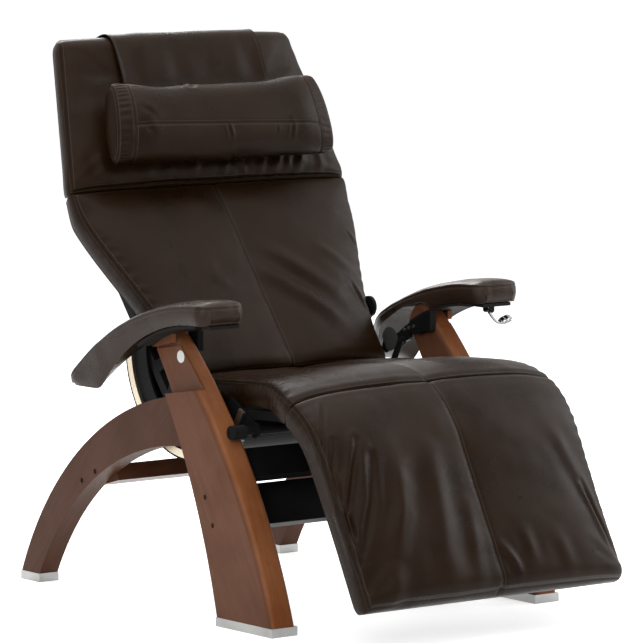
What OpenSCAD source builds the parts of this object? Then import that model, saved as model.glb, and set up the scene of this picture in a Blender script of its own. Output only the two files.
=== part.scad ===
// Reclining massage chair: two wooden side frames carry a seat, back and leg rest that tip as one unit.
// Millimetres. X across (the sitter's left is +X), -Y is the way the sitter faces, Z up, floor at Z = 0.
// Side-view Y values run from a datum under the seat; datum_y then brings the middle of the whole to Y = 0.

/* [Side frames] */
// Distance from the middle of the chair to the middle of a front leg board
front_leg_x = 335; // [325:1:345]
// Thickness of a front leg board
front_leg_t = 60; // [50:1:62]
// Distance from the middle of the chair to the middle of a rear leg board
rear_leg_x = 315; // [313:1:322]
// Thickness of a rear leg board
rear_leg_t = 46; // [36:1:46]
// Front corner of the front leg, in front of the middle
front_toe_y = -422; // [-440:1:-410]
// Rear corner of the front leg at the floor
front_heel_y = -241; // [-260:1:-225]
// Rear corner of the rear leg
rear_toe_y = 484; // [470:1:495]
// Front corner of the rear leg at the floor
rear_heel_y = 419; // [405:1:432]
// Radius of the front edge of the front leg
front_edge_r = 1235; // [1150:5:1320]
// Radius of the rear edge of the front leg
rear_edge_r = 1532; // [1450:5:1600]
// Radius of the outer edge of the rear leg
arch_outer_r = 708; // [690:1:730]
// Radius of the inner edge of the rear leg
arch_inner_r = 602; // [590:1:620]
// Height of the rear leg where it meets the front leg
arch_top_z = 435; // [425:1:445]
// Depth of the rear leg where it meets the front leg
arch_depth = 100; // [85:1:105]
// Height of a metal foot cap
foot_cap_h = 18; // [12:1:24]
// Rounding of the front leg's front edges
leg_round = 12; // [6:1:16]
// Thickness of the post above the front leg's ledge
post_t = 42; // [40:1:46]
// Height of the panel on the post's outer face
panel_h = 92; // [84:1:94]
// Diameter of the plain disc on the panel
badge_d = 25; // [18:1:32]

/* [Cross members] */
// Height of the wooden bar between the rear legs
rear_bar_h = 34; // [26:1:40]
// Depth of the wooden bar
rear_bar_d = 76; // [60:1:84]
// Height of the steel channel between the front legs
low_bar_h = 86; // [74:1:92]
// Depth of the steel channel
low_bar_d = 30; // [24:1:34]
// Wall of the steel channels
channel_wall = 3; // [2:0.5:4]
// Height of the upper steel channel
up_bar_h = 64; // [52:1:68]
// Diameter of a leg bolt head
bolt_d = 11; // [8:1:13]

/* [Recline] */
// Height of the recline axis
axis_z = 516; // [510:1:522]
// Place of the recline axis, behind the middle when positive
axis_y = -40; // [-46:1:-34]
// Running radius of the curved rails
rail_r = 215; // [210:1:217]
// Radial width of a rail
rail_w = 16; // [12:1:20]
// Thickness of a rail across the chair
rail_t = 7; // [5:0.5:8]
// Thickness of the tread strip on a rail
tread_t = 4; // [2.5:0.5:5]
// Thickness of a side plate
plate_t = 6; // [4:0.5:7]
// Diameter of a support roller
roller_d = 24; // [20:1:26]
// Diameter of a roller axle
axle_d = 8; // [6:0.5:10]
// Wall of the curved rear shell
shell_t = 3; // [2:0.5:4]
// Diameter of the upright stop bar
stop_bar_d = 18; // [16:1:22]
// Diameter of a rubber stop cap
stop_cap_d = 28; // [24:1:34]

/* [Seat and leg rest] */
// Height of the seat's side seam at the rear
seat_z = 468; // [460:1:472]
// Place of the seat cushion's rear end
seat_rear_y = -17; // [-30:1:-16]
// Rise of the seat towards the front, degrees
seat_tilt = 3; // [2:0.5:4]
// Length of the flat part of the seat
seat_len = 308; // [295:1:316]
// Radius of the side seam round the knee
knee_r = 217; // [205:1:230]
// Slope of the leg rest below level, degrees
leg_slope = 62; // [58:1:64]
// Length of the straight part of the leg rest
leg_len = 318; // [300:1:330]
// Height of the seat and leg rest side boxing
seat_edge = 48; // [42:1:52]
// Crown of the seat and leg rest above the side seam
seat_crown = 34; // [24:1:38]
// Half width of the seat between the front legs
seat_half_rear = 275; // [266:1:277]
// Half width of the seat at the knee
seat_half_knee = 332; // [322:1:336]
// Half width of the leg rest at its lower end
seat_half_toe = 325; // [312:1:328]

/* [Back] */
// Lean of the back from upright, degrees
back_lean = 38; // [37:0.1:38.5]
// Length of the lower back from the seat to the crease
back_len = 456; // [446:1:464]
// Lean of the head section from upright, degrees
head_lean = 23; // [22:0.5:25]
// Length of the head section
head_len = 333; // [322:1:340]
// Half width of the back at the crease
back_half_top = 351; // [340:1:356]
// Half width of the back at the seat
back_half_low = 259; // [252:1:266]
// Half width of the head section at its top
head_half_top = 291; // [280:1:298]
// Height of the lower back boxing
back_edge = 48; // [42:1:52]
// Height of the head section boxing
head_edge = 34; // [28:1:38]
// Crown of the lower back
back_crown = 30; // [24:1:34]
// Crown of the head section
head_crown = 30; // [22:1:32]

/* [Head pillow] */
// Length of the pillow
pillow_len = 556; // [530:2:570]
// Height of the pillow along the back
pillow_h = 172; // [160:1:180]
// Thickness of the pillow
pillow_t = 84; // [76:1:88]
// Place of the pillow's middle along the head section
pillow_s = 117; // [110:1:124]
// Width of the strap that holds the pillow
flap_w = 372; // [360:2:400]

/* [Arms] */
// Height of the arm pivot
arm_axis_z = 535; // [532:1:538]
// Place of the arm pivot
arm_axis_y = -58; // [-60:1:-56]
// Radius of the rounded top of the post
post_top_r = 48; // [46:0.5:49]
// Width of an arm pad
arm_w = 110; // [104:1:114]
// Distance from the middle of the chair to the middle of an arm pad
arm_x = 351; // [350:0.5:352]
// Length of the level front part of an arm, ahead of the pivot
arm_front = 193; // [186:1:198]
// Radius of an arm pad's upper rim along the arm
rim_r = 666; // [662:1:670]
// Crown of an arm pad above its rim
arm_crown = 9; // [6:1:12]
// Rounding of an arm pad's front corners
tip_r = 28; // [20:1:34]
// Radius of the arm's underside bend
arm_bend_r = 391; // [386:1:396]
// Turn of the arm board from its level front to its rear end, degrees
arm_turn = 30; // [24:1:46]
// Width of the wooden block under an arm
block_w = 11; // [8:1:16]
// Thickness of the arm board
board_t = 7; // [5:1:8]

/* [Hidden] */

$fn = 64;
touch = 0.3;
run_fit = 0.05;
datum_y = 104.7;
leather = [0.22, 0.18, 0.16];
walnut = [0.42, 0.27, 0.2];
black = [0.08, 0.08, 0.09];
steel = [0.7, 0.7, 0.7];
champagne = [0.85, 0.8, 0.7];

// Centre of the circle of radius r through p and q; side picks which of the two.
function circle_through(p, q, r, side) =
    let (d = q - p, n = [-d.y, d.x] / norm(d))
    (p + q) / 2 + side * sqrt(r * r - d * d / 4) * n;
function polar(c, r, a) = c + r * [cos(a), sin(a)];

axis = [axis_y, axis_z];
arm_axis = [arm_axis_y, arm_axis_z];
post_front = [-81, 560];
post_rear = [-10, arm_axis_z];
front_c = circle_through([front_toe_y, foot_cap_h], post_front, front_edge_r, -1);
rear_c = circle_through([front_heel_y, foot_cap_h], post_rear, rear_edge_r, -1);
arch_front_y = -39;
arch_outer_c = circle_through([rear_toe_y, foot_cap_h], [arch_front_y, arch_top_z], arch_outer_r, 1);
arch_inner_c = circle_through([rear_heel_y, foot_cap_h], [arch_front_y - 38, arch_top_z - arch_depth + 4],
    arch_inner_r, 1);
front_in = front_leg_x - front_leg_t / 2;
front_out = front_leg_x + front_leg_t / 2;
rear_in = rear_leg_x - rear_leg_t / 2;
rear_out = rear_leg_x + rear_leg_t / 2;

// A shape drawn in the side view (Y, Z) and given thickness from x0 to x1.
module side(x0, x1) translate([x0, datum_y, 0]) rotate([90, 0, 90]) linear_extrude(x1 - x0) children();
// The same on the left (s = 1) or right (s = -1) half of the chair.
module half(s, x0, x1) side(s > 0 ? x0 : -x1, s > 0 ? x1 : -x0) children();
module disc(s, x0, x1, c, r) half(s, x0, x1) translate(c) circle(r, $fn = r > 400 ? 360 : 96);
module slab(s, x0, x1, c, a, along, across) half(s, x0, x1) translate(c) rotate(a)
    translate([-along / 2, -across / 2]) square([along, across]);

// ---------------------------------------------------------------- side frames
module leg_section() {
    // Section of the front leg, rounded at the front edges; X is the radius from the front edge's centre.
    depth = 260;
    translate([front_edge_r - depth, -front_leg_t / 2]) square([depth - leg_round, front_leg_t]);
    translate([front_edge_r - leg_round, leg_round - front_leg_t / 2])
        square([leg_round, front_leg_t - 2 * leg_round]);
    for (e = [-1, 1]) translate([front_edge_r - leg_round, e * (front_leg_t / 2 - leg_round)])
        circle(leg_round, $fn = 48);
}
module leg_blank(s) translate([s * front_leg_x, datum_y + front_c.x, front_c.y]) rotate([0, 90, 0])
    rotate([0, 0, 180]) rotate_extrude(angle = 90, $fn = 360) leg_section();
// Side outline of the leg below its ledge, and of the thinner post above it.
module below_ledge() difference() {
    translate([-500, foot_cap_h]) square([600, panel_c.y]);
    translate(ledge_c) rotate(ledge_a) translate([-500, 0]) square([1000, 500]);
}
module post_outline() {
    translate(arm_axis) circle(post_top_r, $fn = 96);
    translate([arm_axis_y - 150, ledge_c.y - 40]) square([300, arm_axis_z - ledge_c.y + 40]);
}
module front_leg(s) color(walnut) difference() {
    intersection() {
        leg_blank(s);
        union() {
            half(s, front_in - 1, front_out + 1) below_ledge();
            half(s, front_in - 1, post_out) post_outline();
        }
    }
    disc(s, front_in - 2, front_out + 2, rear_c, rear_edge_r);
    disc(s, front_in - 1, front_in + pin_seat, arm_axis, pin_d / 2);
    disc(s, front_in - 1, front_in + axle_seat, front_roller_c, axle_d / 2);
    for (b = low_bolts) disc(s, front_out - bolt_sink, front_out + 1, b, bolt_d / 2);
}
module front_leg_left() front_leg(1);
module front_leg_right() front_leg(-1);

module rear_leg(s) color(walnut) difference() {
    intersection() {
        difference() {
            disc(s, rear_in, rear_out, arch_outer_c, arch_outer_r);
            disc(s, rear_in - 1, rear_out + 1, arch_inner_c, arch_inner_r);
        }
        disc(s, rear_in - 1, rear_out + 1, rear_c, rear_edge_r - touch);
        slab(s, rear_in - 1, rear_out + 1, [200, 300 + foot_cap_h], 0, 800, 600);
    }
    disc(s, rear_in - 1, rear_in + axle_seat, rear_roller_c, axle_d / 2);
    for (b = rear_bolts) disc(s, rear_out - bolt_sink, rear_out + 1, b, bolt_d / 2);
}
module rear_leg_left() rear_leg(1);
module rear_leg_right() rear_leg(-1);

panel_t = 4;
post_out = front_in + post_t - panel_t;
post_face = front_in + post_t;
ledge_c = [arm_axis_y - 59, arm_axis_z - 81];
ledge_a = -9;
panel_c = ledge_c + panel_h / 2 * [sin(-ledge_a), cos(ledge_a)];
module post_panels() color(walnut) for (s = [-1, 1]) difference() {
    intersection() {
        disc(s, post_out, post_face, front_c, front_edge_r - 2);
        slab(s, post_out, post_face, panel_c, ledge_a, 400, panel_h);
    }
    disc(s, post_out - 1, post_face + 1, rear_c, rear_edge_r + 2);
    disc(s, post_face - badge_t, post_face + 1, badge_c, badge_d / 2);
}
badge_t = 1.5;
badge_c = [arm_axis_y - 40, arm_axis_z - 13];
module badge_discs() color(steel) for (s = [-1, 1])
    disc(s, post_face - badge_t, post_face + 0.5, badge_c, badge_d / 2 - touch / 2);

cap_over = 1.5;
module foot(s, x0, x1, y0, y1) half(s, x0 - cap_over, x1 + cap_over) translate([y0 - cap_over, 0])
    square([y1 - y0 + 2 * cap_over, foot_cap_h]);
module front_foot_caps() color(steel) for (s = [-1, 1])
    foot(s, front_in, front_out, front_toe_y, front_heel_y);
module rear_foot_caps() color(steel) for (s = [-1, 1])
    foot(s, rear_in, rear_out, rear_heel_y, rear_toe_y);

// ---------------------------------------------------------------- cross members
rear_bar_c = [238, 242];
rear_bar_a = -15;
low_bar_c = [-214.5, 226];
low_bar_a = 65;
up_bar_d = 24;
up_bar_c = [-238, 314];
up_bar_a = 55;
bolt_sink = 6;
low_bolts = [[-202, 253], [-227, 199]];
rear_bolts = [[262, 232], [215, 256]];
module rear_cross_bar() color(walnut)
    slab(1, -rear_in, rear_in, rear_bar_c, rear_bar_a, rear_bar_d, rear_bar_h);
// A channel section: web to the front, flanges to the rear.
module channel(c, a, h, d) difference() {
    slab(1, -front_in, front_in, c, a, h, d);
    half(1, 1 - front_in, front_in - 1) translate(c) rotate(a)
        translate([channel_wall - h / 2, -d / 2 - 1]) square([h - 2 * channel_wall, d - channel_wall + 1]);
}
module lower_cross_channel() color(black) channel(low_bar_c, low_bar_a, low_bar_h, low_bar_d);
module upper_cross_channel() color(black) channel(up_bar_c, up_bar_a, up_bar_h, up_bar_d);
head_depth = 4;
module bolt_heads(s, x, places) for (b = places) disc(s, x, x + head_depth, b, bolt_d / 2 - touch);
module leg_bolts() color(black) for (s = [-1, 1]) {
    bolt_heads(s, front_out - bolt_sink, low_bolts);
    bolt_heads(s, rear_out - bolt_sink, rear_bolts);
}

// ---------------------------------------------------------------- rollers and brake
axle_seat = 24;
roller_gap = 0.3;
roller_path_r = rail_r + roller_d / 2 + roller_gap;
front_roller_c = polar(axis, roller_path_r, -90 - 48);
rear_roller_c = polar(axis, roller_path_r, -90 + 41);
plate_in = 276;
plate_out = plate_in + plate_t;
rail_out = plate_out + rail_t;
roller_x0 = plate_out - 1;
roller_x1 = rear_in - 1.5;
module roller(c) for (s = [-1, 1]) difference() {
    disc(s, roller_x0, roller_x1, c, roller_d / 2);
    disc(s, roller_x0 - 1, roller_x1 + 1, c, axle_d / 2 + run_fit);
}
module front_rollers() color(steel) roller(front_roller_c);
module rear_rollers() color(steel) roller(rear_roller_c);
module axle(s, c, x_end) {
    disc(s, roller_x0 - 0.5, x_end, c, axle_d / 2);
    disc(s, roller_x0 - 3, roller_x0 - 0.5, c, axle_d / 2 + 3);
}
module roller_axles() color(steel) for (s = [-1, 1]) {
    axle(s, front_roller_c, front_in + axle_seat - 1);
    axle(s, rear_roller_c, rear_in + axle_seat - 1);
}

// ---------------------------------------------------------------- reclining unit: plates, rails, shell
rail_a0 = -90 - 62;
rail_a1 = -90 + 100;
hoop_r = rail_r - tread_t;
web_r = 152;
module sector(c, r, a0, a1) polygon([c, polar(c, r, a0), polar(c, r, (a0 * 2 + a1) / 3),
    polar(c, r, (a0 + a1 * 2) / 3), polar(c, r, a1)]);
module arc_band(s, x0, x1, r0, r1, a0, a1) intersection() {
    difference() {
        disc(s, x0, x1, axis, r1);
        disc(s, x0 - 1, x1 + 1, axis, r0);
    }
    half(s, x0 - 1, x1 + 1) sector(axis, 2 * r1, a0, a1);
}
stop_dir = 144.2;
stop_c = polar(front_c, front_edge_r + stop_cap_d / 2 + touch, stop_dir);
wing_c = [98, 566];
wing_r = 22;
link_pin = [-9, 502];
bar_foot = [58, 378];
bar_w = 16;
end_step_in = 0.4;
// A bar with round ends that stand a little proud of its straight edges.
module bar(s, x0, x1, p, q, w) {
    slab(s, x0, x1, (p + q) / 2, atan2(q.y - p.y, q.x - p.x), norm(q - p), w - 2 * end_step_in);
    disc(s, x0, x1, p, w / 2);
    disc(s, x0, x1, q, w / 2);
}
module side_plate(s) color(black) difference() {
    union() {
        arc_band(s, plate_in, plate_out, web_r, hoop_r, rail_a0, rail_a1);
        bar(s, plate_in, plate_out, polar(axis, web_r + 30, rail_a0 + 6), stop_c, stop_bar_d + 12);
        bar(s, plate_in + 4, plate_out + 5, polar(axis, web_r + 13, rail_a1 + 2), wing_c, 2 * wing_r);
        bar(s, plate_out - 1, cover_x0 - link_gap, bar_foot, link_pin, bar_w);
        disc(s, plate_in + 3, link_x1, link_pin, link_pin_d / 2);
    }
    disc(s, plate_in - 1, plate_out + 1, stop_c, stop_bar_d / 2 + touch / 2);
}
module side_plate_left() side_plate(1);
module side_plate_right() side_plate(-1);
module curved_rail(s) color(champagne)
    arc_band(s, plate_out, rail_out, hoop_r - rail_w, hoop_r, rail_a0, rail_a1);
module curved_rail_left() curved_rail(1);
module curved_rail_right() curved_rail(-1);
module rail_treads() color(black) for (s = [-1, 1])
    arc_band(s, plate_out, rail_out, hoop_r, rail_r, rail_a0, rail_a1);
module rear_shell() color(black)
    arc_band(1, -plate_in, plate_in, hoop_r - shell_t, hoop_r, rail_a0 + 6, rail_a1);
cap_x0 = 308;
cap_x1 = 340;
module stop_bar() color(black) disc(1, -cap_x1 + 3, cap_x1 - 3, stop_c, stop_bar_d / 2);
module stop_caps() color(black) for (s = [-1, 1]) difference() {
    disc(s, cap_x0, cap_x1, stop_c, stop_cap_d / 2);
    disc(s, cap_x0 - 1, cap_x1 - 3, stop_c, stop_bar_d / 2);
}

// ---------------------------------------------------------------- recline lock
brake_x = 12;
brake_r0 = hoop_r + 0.2;
brake_r1 = brake_r0 + 5;
brake_a0 = rail_a0 + 14;
module brake_strip() color(steel)
    arc_band(1, brake_x - 5, brake_x + 5, brake_r0 - 0.2, brake_r1 + 6, brake_a0, -90 + 60);
function flange_at(e) = up_bar_c + (up_bar_h / 2 + touch) * [cos(up_bar_a), sin(up_bar_a)]
    + e * up_bar_d / 2 * [-sin(up_bar_a), cos(up_bar_a)];
// Caliper on the upper channel, its two jaws beside the strip.
module brake_caliper() color(black) for (s = [0, 1]) {
    x0 = s == 0 ? brake_x - 17 : brake_x + 6;
    side(x0, x0 + 11) polygon([polar(axis, brake_r1 + 1, -90 - 34), polar(axis, brake_r1 + 1, -90 - 44),
        flange_at(1), flange_at(-1)]);
}

// ---------------------------------------------------------------- seat and leg rest lines
// Points on the side seam; a is the slope below level of the way towards the feet.
function heading(a) = [-cos(a), -sin(a)];
function outward(a) = [-sin(a), cos(a)];
function smooth(t) = let (u = min(max(t, 0), 1)) u * u * (3 - 2 * u);
function mix(a, b, t) = a + (b - a) * t;
knee_a0 = -seat_tilt;
knee_cut = 28;
seat_rear = [seat_rear_y, seat_z];
knee_start = seat_rear + seat_len * heading(knee_a0);
knee_c = knee_start - knee_r * outward(knee_a0);
function knee_point(a) = knee_c + knee_r * outward(a);
function knee_arc(a0, a1) = knee_r * (a1 - a0) * PI / 180;
back_foot = seat_rear + [6, -1];
back_a = 90 - back_lean;
head_a = 90 - head_lean;
crease_a = (back_a + head_a) / 2;
crease = back_foot - back_len * heading(back_a);

// ---------------------------------------------------------------- cushions
// A cushion is lofted through stations [y, z, slope, half width, edge, crown, valley, tuck, lift, shift] set
// along its side seam. Tuck draws its back corners in; lift makes it thinner at the side that thin names, and
// shift moves it away from that side.
pad_u = [-1, -0.93, -0.75, -0.5, -0.25, -0.05, 0, 0.05, 0.25, 0.5, 0.75, 0.93, 1];
pad_bulge = 3;
valley_w = 45;
function crown_at(u) = pow(1 - pow(abs(u), 3.2), 0.6);
function pad_point(st, x0, x, h) = [x0 + x, datum_y + st[0] - h * sin(st[2]), st[1] + h * cos(st[2])];
function pad_ring(st, x0, thin) =
    let (w = st[3], m = x0 - thin * st[9], low = function(u) st[8] * (1 + thin * u) / 2 - st[4]) concat(
    [for (u = pad_u) pad_point(st, m, u * w, st[5] * crown_at(u) - st[6] * exp(-pow(u * w / valley_w, 2)))],
    [pad_point(st, m, w + pad_bulge, 0.4 * low(1)), pad_point(st, m, w - st[7], low(1))],
    [for (u = [0.5, 0, -0.5]) pad_point(st, m, u * w, low(u))],
    [pad_point(st, m, st[7] - w, low(-1)), pad_point(st, m, -w - pad_bulge, 0.4 * low(-1))]);
module loft(rings) {
    m = len(rings[0]);
    n = len(rings);
    polyhedron([for (r = rings) for (p = r) p], concat(
        [for (i = [0:n - 2]) for (j = [0:m - 1]) let (k = (j + 1) % m)
            [i * m + j, i * m + k, (i + 1) * m + k]],
        [for (i = [0:n - 2]) for (j = [0:m - 1]) let (k = (j + 1) % m)
            [i * m + j, (i + 1) * m + k, (i + 1) * m + j]],
        [for (j = [1:m - 2]) [0, j + 1, j]],
        [for (j = [1:m - 2]) [(n - 1) * m, (n - 1) * m + j, (n - 1) * m + j + 1]]));
}
module pad(stations, x0 = 0, thin = 0) loft([for (st = stations) pad_ring(st, x0, thin)]);
end_step = 7;
end_run = 18;
// Places along a cushion of length l, closer together at its two ends.
function ticks(l, n) = concat([0, end_step / l, end_run / l],
    [for (i = [1:n - 1]) mix(end_run / l, 1 - end_run / l, i / n)],
    [1 - end_run / l, 1 - end_step / l, 1]);
// How far a station is drawn in at a cushion's end, k0 at the start and k1 at the far end.
function draw_in(t, l, k0, k1) = let (d = min(t, 1 - t) * l, k = t < 0.5 ? k0 : k1)
    k * (d < 1 ? 1 : d < end_step + 2 ? 0.4 : d < end_run + 2 ? 0.1 : 0);
function station(p, a, w, e, c, v, d, tuck = 4, lift = 0, shift = 0) = let (q = p - 12 * d * outward(a))
    [q.x, q.y, a, w - 10 * d, e - 18 * d, c * (1 - 0.6 * d), v * (1 - d), tuck, lift * (1 - d), shift];

seat_l = seat_len + knee_arc(knee_a0, knee_cut);
widen_from = 190;
function seat_at(s) = s < seat_len ? seat_rear + s * heading(knee_a0)
    : knee_point(knee_a0 + (s - seat_len) / knee_r * 180 / PI);
function seat_slope(s) = s < seat_len ? knee_a0 : knee_a0 + (s - seat_len) / knee_r * 180 / PI;
module seat_cushion() color(leather) pad([for (t = ticks(seat_l, 8)) let (s = t * seat_l)
    station(seat_at(s), seat_slope(s),
        mix(seat_half_rear, seat_half_knee, smooth((s - widen_from) / (seat_l - widen_from))),
        seat_edge, mix(18, seat_crown - 4, smooth(t)), 12, draw_in(t, seat_l, 1, 0.35))]);

knee_gap = 0.8;
leg_arc = knee_arc(knee_cut, leg_slope);
leg_l = leg_arc + leg_len;
function leg_slope_at(s) = s < leg_arc ? knee_cut + s / knee_r * 180 / PI : leg_slope;
function leg_at(s) = s < leg_arc ? knee_point(knee_cut + s / knee_r * 180 / PI)
    : knee_point(leg_slope) + (s - leg_arc) * heading(leg_slope);
module legrest_cushion() color(leather) pad([for (t = ticks(leg_l - knee_gap, 9))
    let (s = knee_gap + t * (leg_l - knee_gap))
    station(leg_at(s), leg_slope_at(s), mix(seat_half_knee, seat_half_toe, t) - 4 * sin(180 * t),
        seat_edge, seat_crown, 14, draw_in(t, leg_l, 0.35, 1), mix(4, 0, t))]);

function back_half(s) = mix(back_half_low, back_half_top, smooth((s - waist) / (back_len - waist)));
waist = 60;
seam_set = 11;
blend_run = 60;
crease_gap = 0.8;
module lower_back_cushion() color(leather) pad([for (t = ticks(back_len - crease_gap, 9))
    let (s = (1 - t) * (back_len - crease_gap), k = smooth((s - back_len + blend_run) / blend_run))
    station(back_foot - s * heading(back_a) - seam_set * (1 - k) * outward(back_a), mix(back_a, crease_a, k),
        back_half(s), back_edge - 8 * k, mix(back_crown, 8, k), mix(back_crown - seam_set, 4, k),
        draw_in(t, back_len, 0.3, 1))]);

function head_half(s) = mix(back_half_top, head_half_top, s / head_len);
module head_cushion() color(leather) pad([for (t = ticks(head_len - crease_gap, 8))
    let (s = head_len - t * (head_len - crease_gap), k = smooth((blend_run - s) / blend_run))
    station(crease - s * heading(head_a), mix(head_a, crease_a, k), head_half(s) + 3,
        head_edge + 4 * k, head_crown, 0, draw_in(t, head_len, 1, 0.7))]);

// ---------------------------------------------------------------- boards, frames and covers
// Places its children on the back: X across, Y up along the side seam, Z towards the sitter.
module back_plane(foot, lean) translate([0, datum_y + foot.x, foot.y]) rotate([90 - lean, 0, 0]) children();
board = 6;
board_set = 1.6;
tube = 20;
tube_x1 = plate_in;
tube_w = 24;
tube_x0 = tube_x1 - tube_w;
margin = 10;
module tapered(s0, s1, half_at, inset) polygon(concat(
    [for (i = [0:6]) let (s = mix(s0, s1, i / 6)) [half_at(s) - inset, s]],
    [for (i = [6:-1:0]) let (s = mix(s0, s1, i / 6)) [inset - half_at(s), s]]));
low_half = function(s) back_half(s);
top_half = function(s) head_half(s);
back_board_h = back_edge + seam_set + 0.5;
head_board_h = head_edge + 5;
module back_board() color(black) {
    back_plane(back_foot, back_lean) translate([0, 0, -back_board_h - board])
        linear_extrude(board) tapered(margin, back_len - 34, low_half, margin + 6);
    back_plane(crease, head_lean) translate([0, 0, -head_board_h - board])
        linear_extrude(board) tapered(margin, head_len - margin, top_half, margin + 6);
}
frame_top = seat_edge + board_set + board + touch;
back_frame_h = back_board_h + board;
head_frame_h = head_board_h + board;
back_normal = [-cos(back_lean), sin(back_lean)];
back_along = [sin(back_lean), cos(back_lean)];
frame_corner = back_foot - (back_frame_h + tube) * back_normal;
frame_start = (touch - frame_top - (frame_corner - seat_rear) * outward(knee_a0))
    / (back_along * outward(knee_a0));
module half_box(s, x0, x1, y0, y1, z0, z1) translate([s > 0 ? x0 : -x1, y0, z0])
    cube([x1 - x0, y1 - y0, z1 - z0]);
head_x0 = tube_x0 - 40;
head_from = -44;
head_to = head_len - 30;
low_to = back_len - 20;
// The tubes of the back, each grown all round by g.
module tube_run(s, x0, x1, y0, y1, h, g) half_box(s, x0 - g, x1 + g, y0 - g, y1 + g, -h - tube - g, -h + g);
module back_tubes(g = 0) {
    back_plane(back_foot, back_lean) {
        for (s = [-1, 1]) tube_run(s, tube_x0, tube_x1, frame_start, low_to, back_frame_h, g);
        for (y = [150, 330, low_to - tube]) tube_run(1, -tube_x0, tube_x0, y, y + tube, back_frame_h, g);
    }
    back_plane(crease, head_lean) {
        for (s = [-1, 1]) tube_run(s, head_x0, head_x0 + tube_w, head_from, head_to, head_frame_h, g);
        tube_run(1, -head_x0, head_x0, head_to - tube, head_to, head_frame_h, g);
    }
}
module back_frame() color(black) back_tubes();
cover = 3;
tray_in = 36;
module tray(s0, s1, half_at, h) {
    translate([0, 0, -h - tube - cover]) linear_extrude(cover) tapered(s0, s1, half_at, tray_in);
    translate([0, 0, -h - tube]) linear_extrude(tube - touch) difference() {
        tapered(s0, s1, half_at, tray_in);
        tapered(s0 - 1, s1 - cover, half_at, tray_in + cover);
    }
}
cover_from = 190;
module back_cover() color(black) difference() {
    union() {
        back_plane(back_foot, back_lean) tray(cover_from, back_len - 26, low_half, back_frame_h + touch);
        back_plane(crease, head_lean) tray(-18, head_len - 6, top_half, head_frame_h + touch);
    }
    back_tubes(touch);
}
motor_d = 72;
motor_t = 14;
motor_x = 110;
module massage_motors() color(steel) {
    for (x = [-motor_x, motor_x]) {
        back_plane(back_foot, back_lean) for (y = [105, 250]) translate([x, y, -back_frame_h - motor_t])
            cylinder(motor_t - touch, d = motor_d);
        translate([x, datum_y + seat_mid.x, seat_mid.y]) rotate([-seat_tilt, 0, 0])
            translate([0, 0, -frame_top - motor_t]) cylinder(motor_t - touch, d = motor_d);
    }
}
seat_mid = seat_rear + seat_len / 2 * heading(knee_a0);

module seat_outline(s0, s1, h0, h1) polygon([for (c = [[s0, h0], [s1, h0], [s1, h1], [s0, h1]])
    seat_rear + c.x * heading(knee_a0) + c.y * outward(knee_a0)]);
module seat_band(x1, s0, s1, h0, h1) side(-x1, x1) seat_outline(s0, s1, h0, h1);
pan_h = seat_edge + board_set;
module seat_pan() color(black) seat_band(seat_half_rear - margin, margin, seat_len, -pan_h - board, -pan_h);
rear_reach = 108;
rail_h = 19;
module seat_frame() color(black) {
    h0 = -frame_top - rail_h;
    for (s = [-1, 1]) half(s, tube_x0, tube_x1) seat_outline(-rear_reach, seat_len, h0, -frame_top);
    for (s0 = [-rear_reach, seat_len - tube]) seat_band(tube_x0, s0, s0 + tube, h0, -frame_top);
}
module knee_band(s, x0, x1, r0, r1) intersection() {
    difference() {
        disc(s, x0, x1, knee_c, r1);
        disc(s, x0 - 1, x1 + 1, knee_c, r0);
    }
    half(s, x0 - 1, x1 + 1) sector(knee_c, 2 * r1, 90 + knee_a0, 90 + leg_slope);
}
leg_foot = knee_point(leg_slope);
module leg_plane() translate([0, datum_y + leg_foot.x, leg_foot.y]) rotate([leg_slope, 0, 0]) children();
module legrest_board() color(black) {
    knee_band(1, -seat_half_rear, seat_half_rear, knee_r - pan_h - board, knee_r - pan_h);
    leg_plane() translate([-seat_half_rear, margin - leg_len, -pan_h - board])
        cube([2 * seat_half_rear, leg_len - margin, board]);
}
module legrest_frame() color(black) {
    for (s = [-1, 1]) {
        knee_band(s, tube_x0, tube_x1, knee_r - frame_top - tube, knee_r - frame_top);
        leg_plane() half_box(s, tube_x0, tube_x1, 40 - leg_len, 0, -frame_top - tube, -frame_top);
    }
    for (y = [40 - leg_len, -130]) leg_plane() translate([-tube_x0, y, -frame_top - tube])
        cube([2 * tube_x0, tube, tube]);
}

// ---------------------------------------------------------------- head pillow
pillow_h0 = head_crown + 4;
pillow_c = crease - pillow_s * heading(head_a) + (pillow_h0 + pillow_t / 2) * outward(head_a);
roll_x = [0, 0.02, 0.06, 0.14, 0.32, 0.5, 0.68, 0.86, 0.94, 0.98, 1];
roll_k = [0.5, 0.78, 0.94, 1, 0.97, 0.96, 0.97, 1, 0.94, 0.78, 0.5];
function roll_at(b) = pillow_h / 2 * cos(b) * -heading(head_a) + pillow_t / 2 * sin(b) * outward(head_a);
module head_pillow() color(leather) loft([for (i = [0:10]) [for (j = [0:19])
    let (q = pillow_c + roll_k[i] * roll_at(-18 * j)) [(roll_x[i] - 0.5) * pillow_len, datum_y + q.x, q.y]]]);
flap_t = 2.5;
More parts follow.
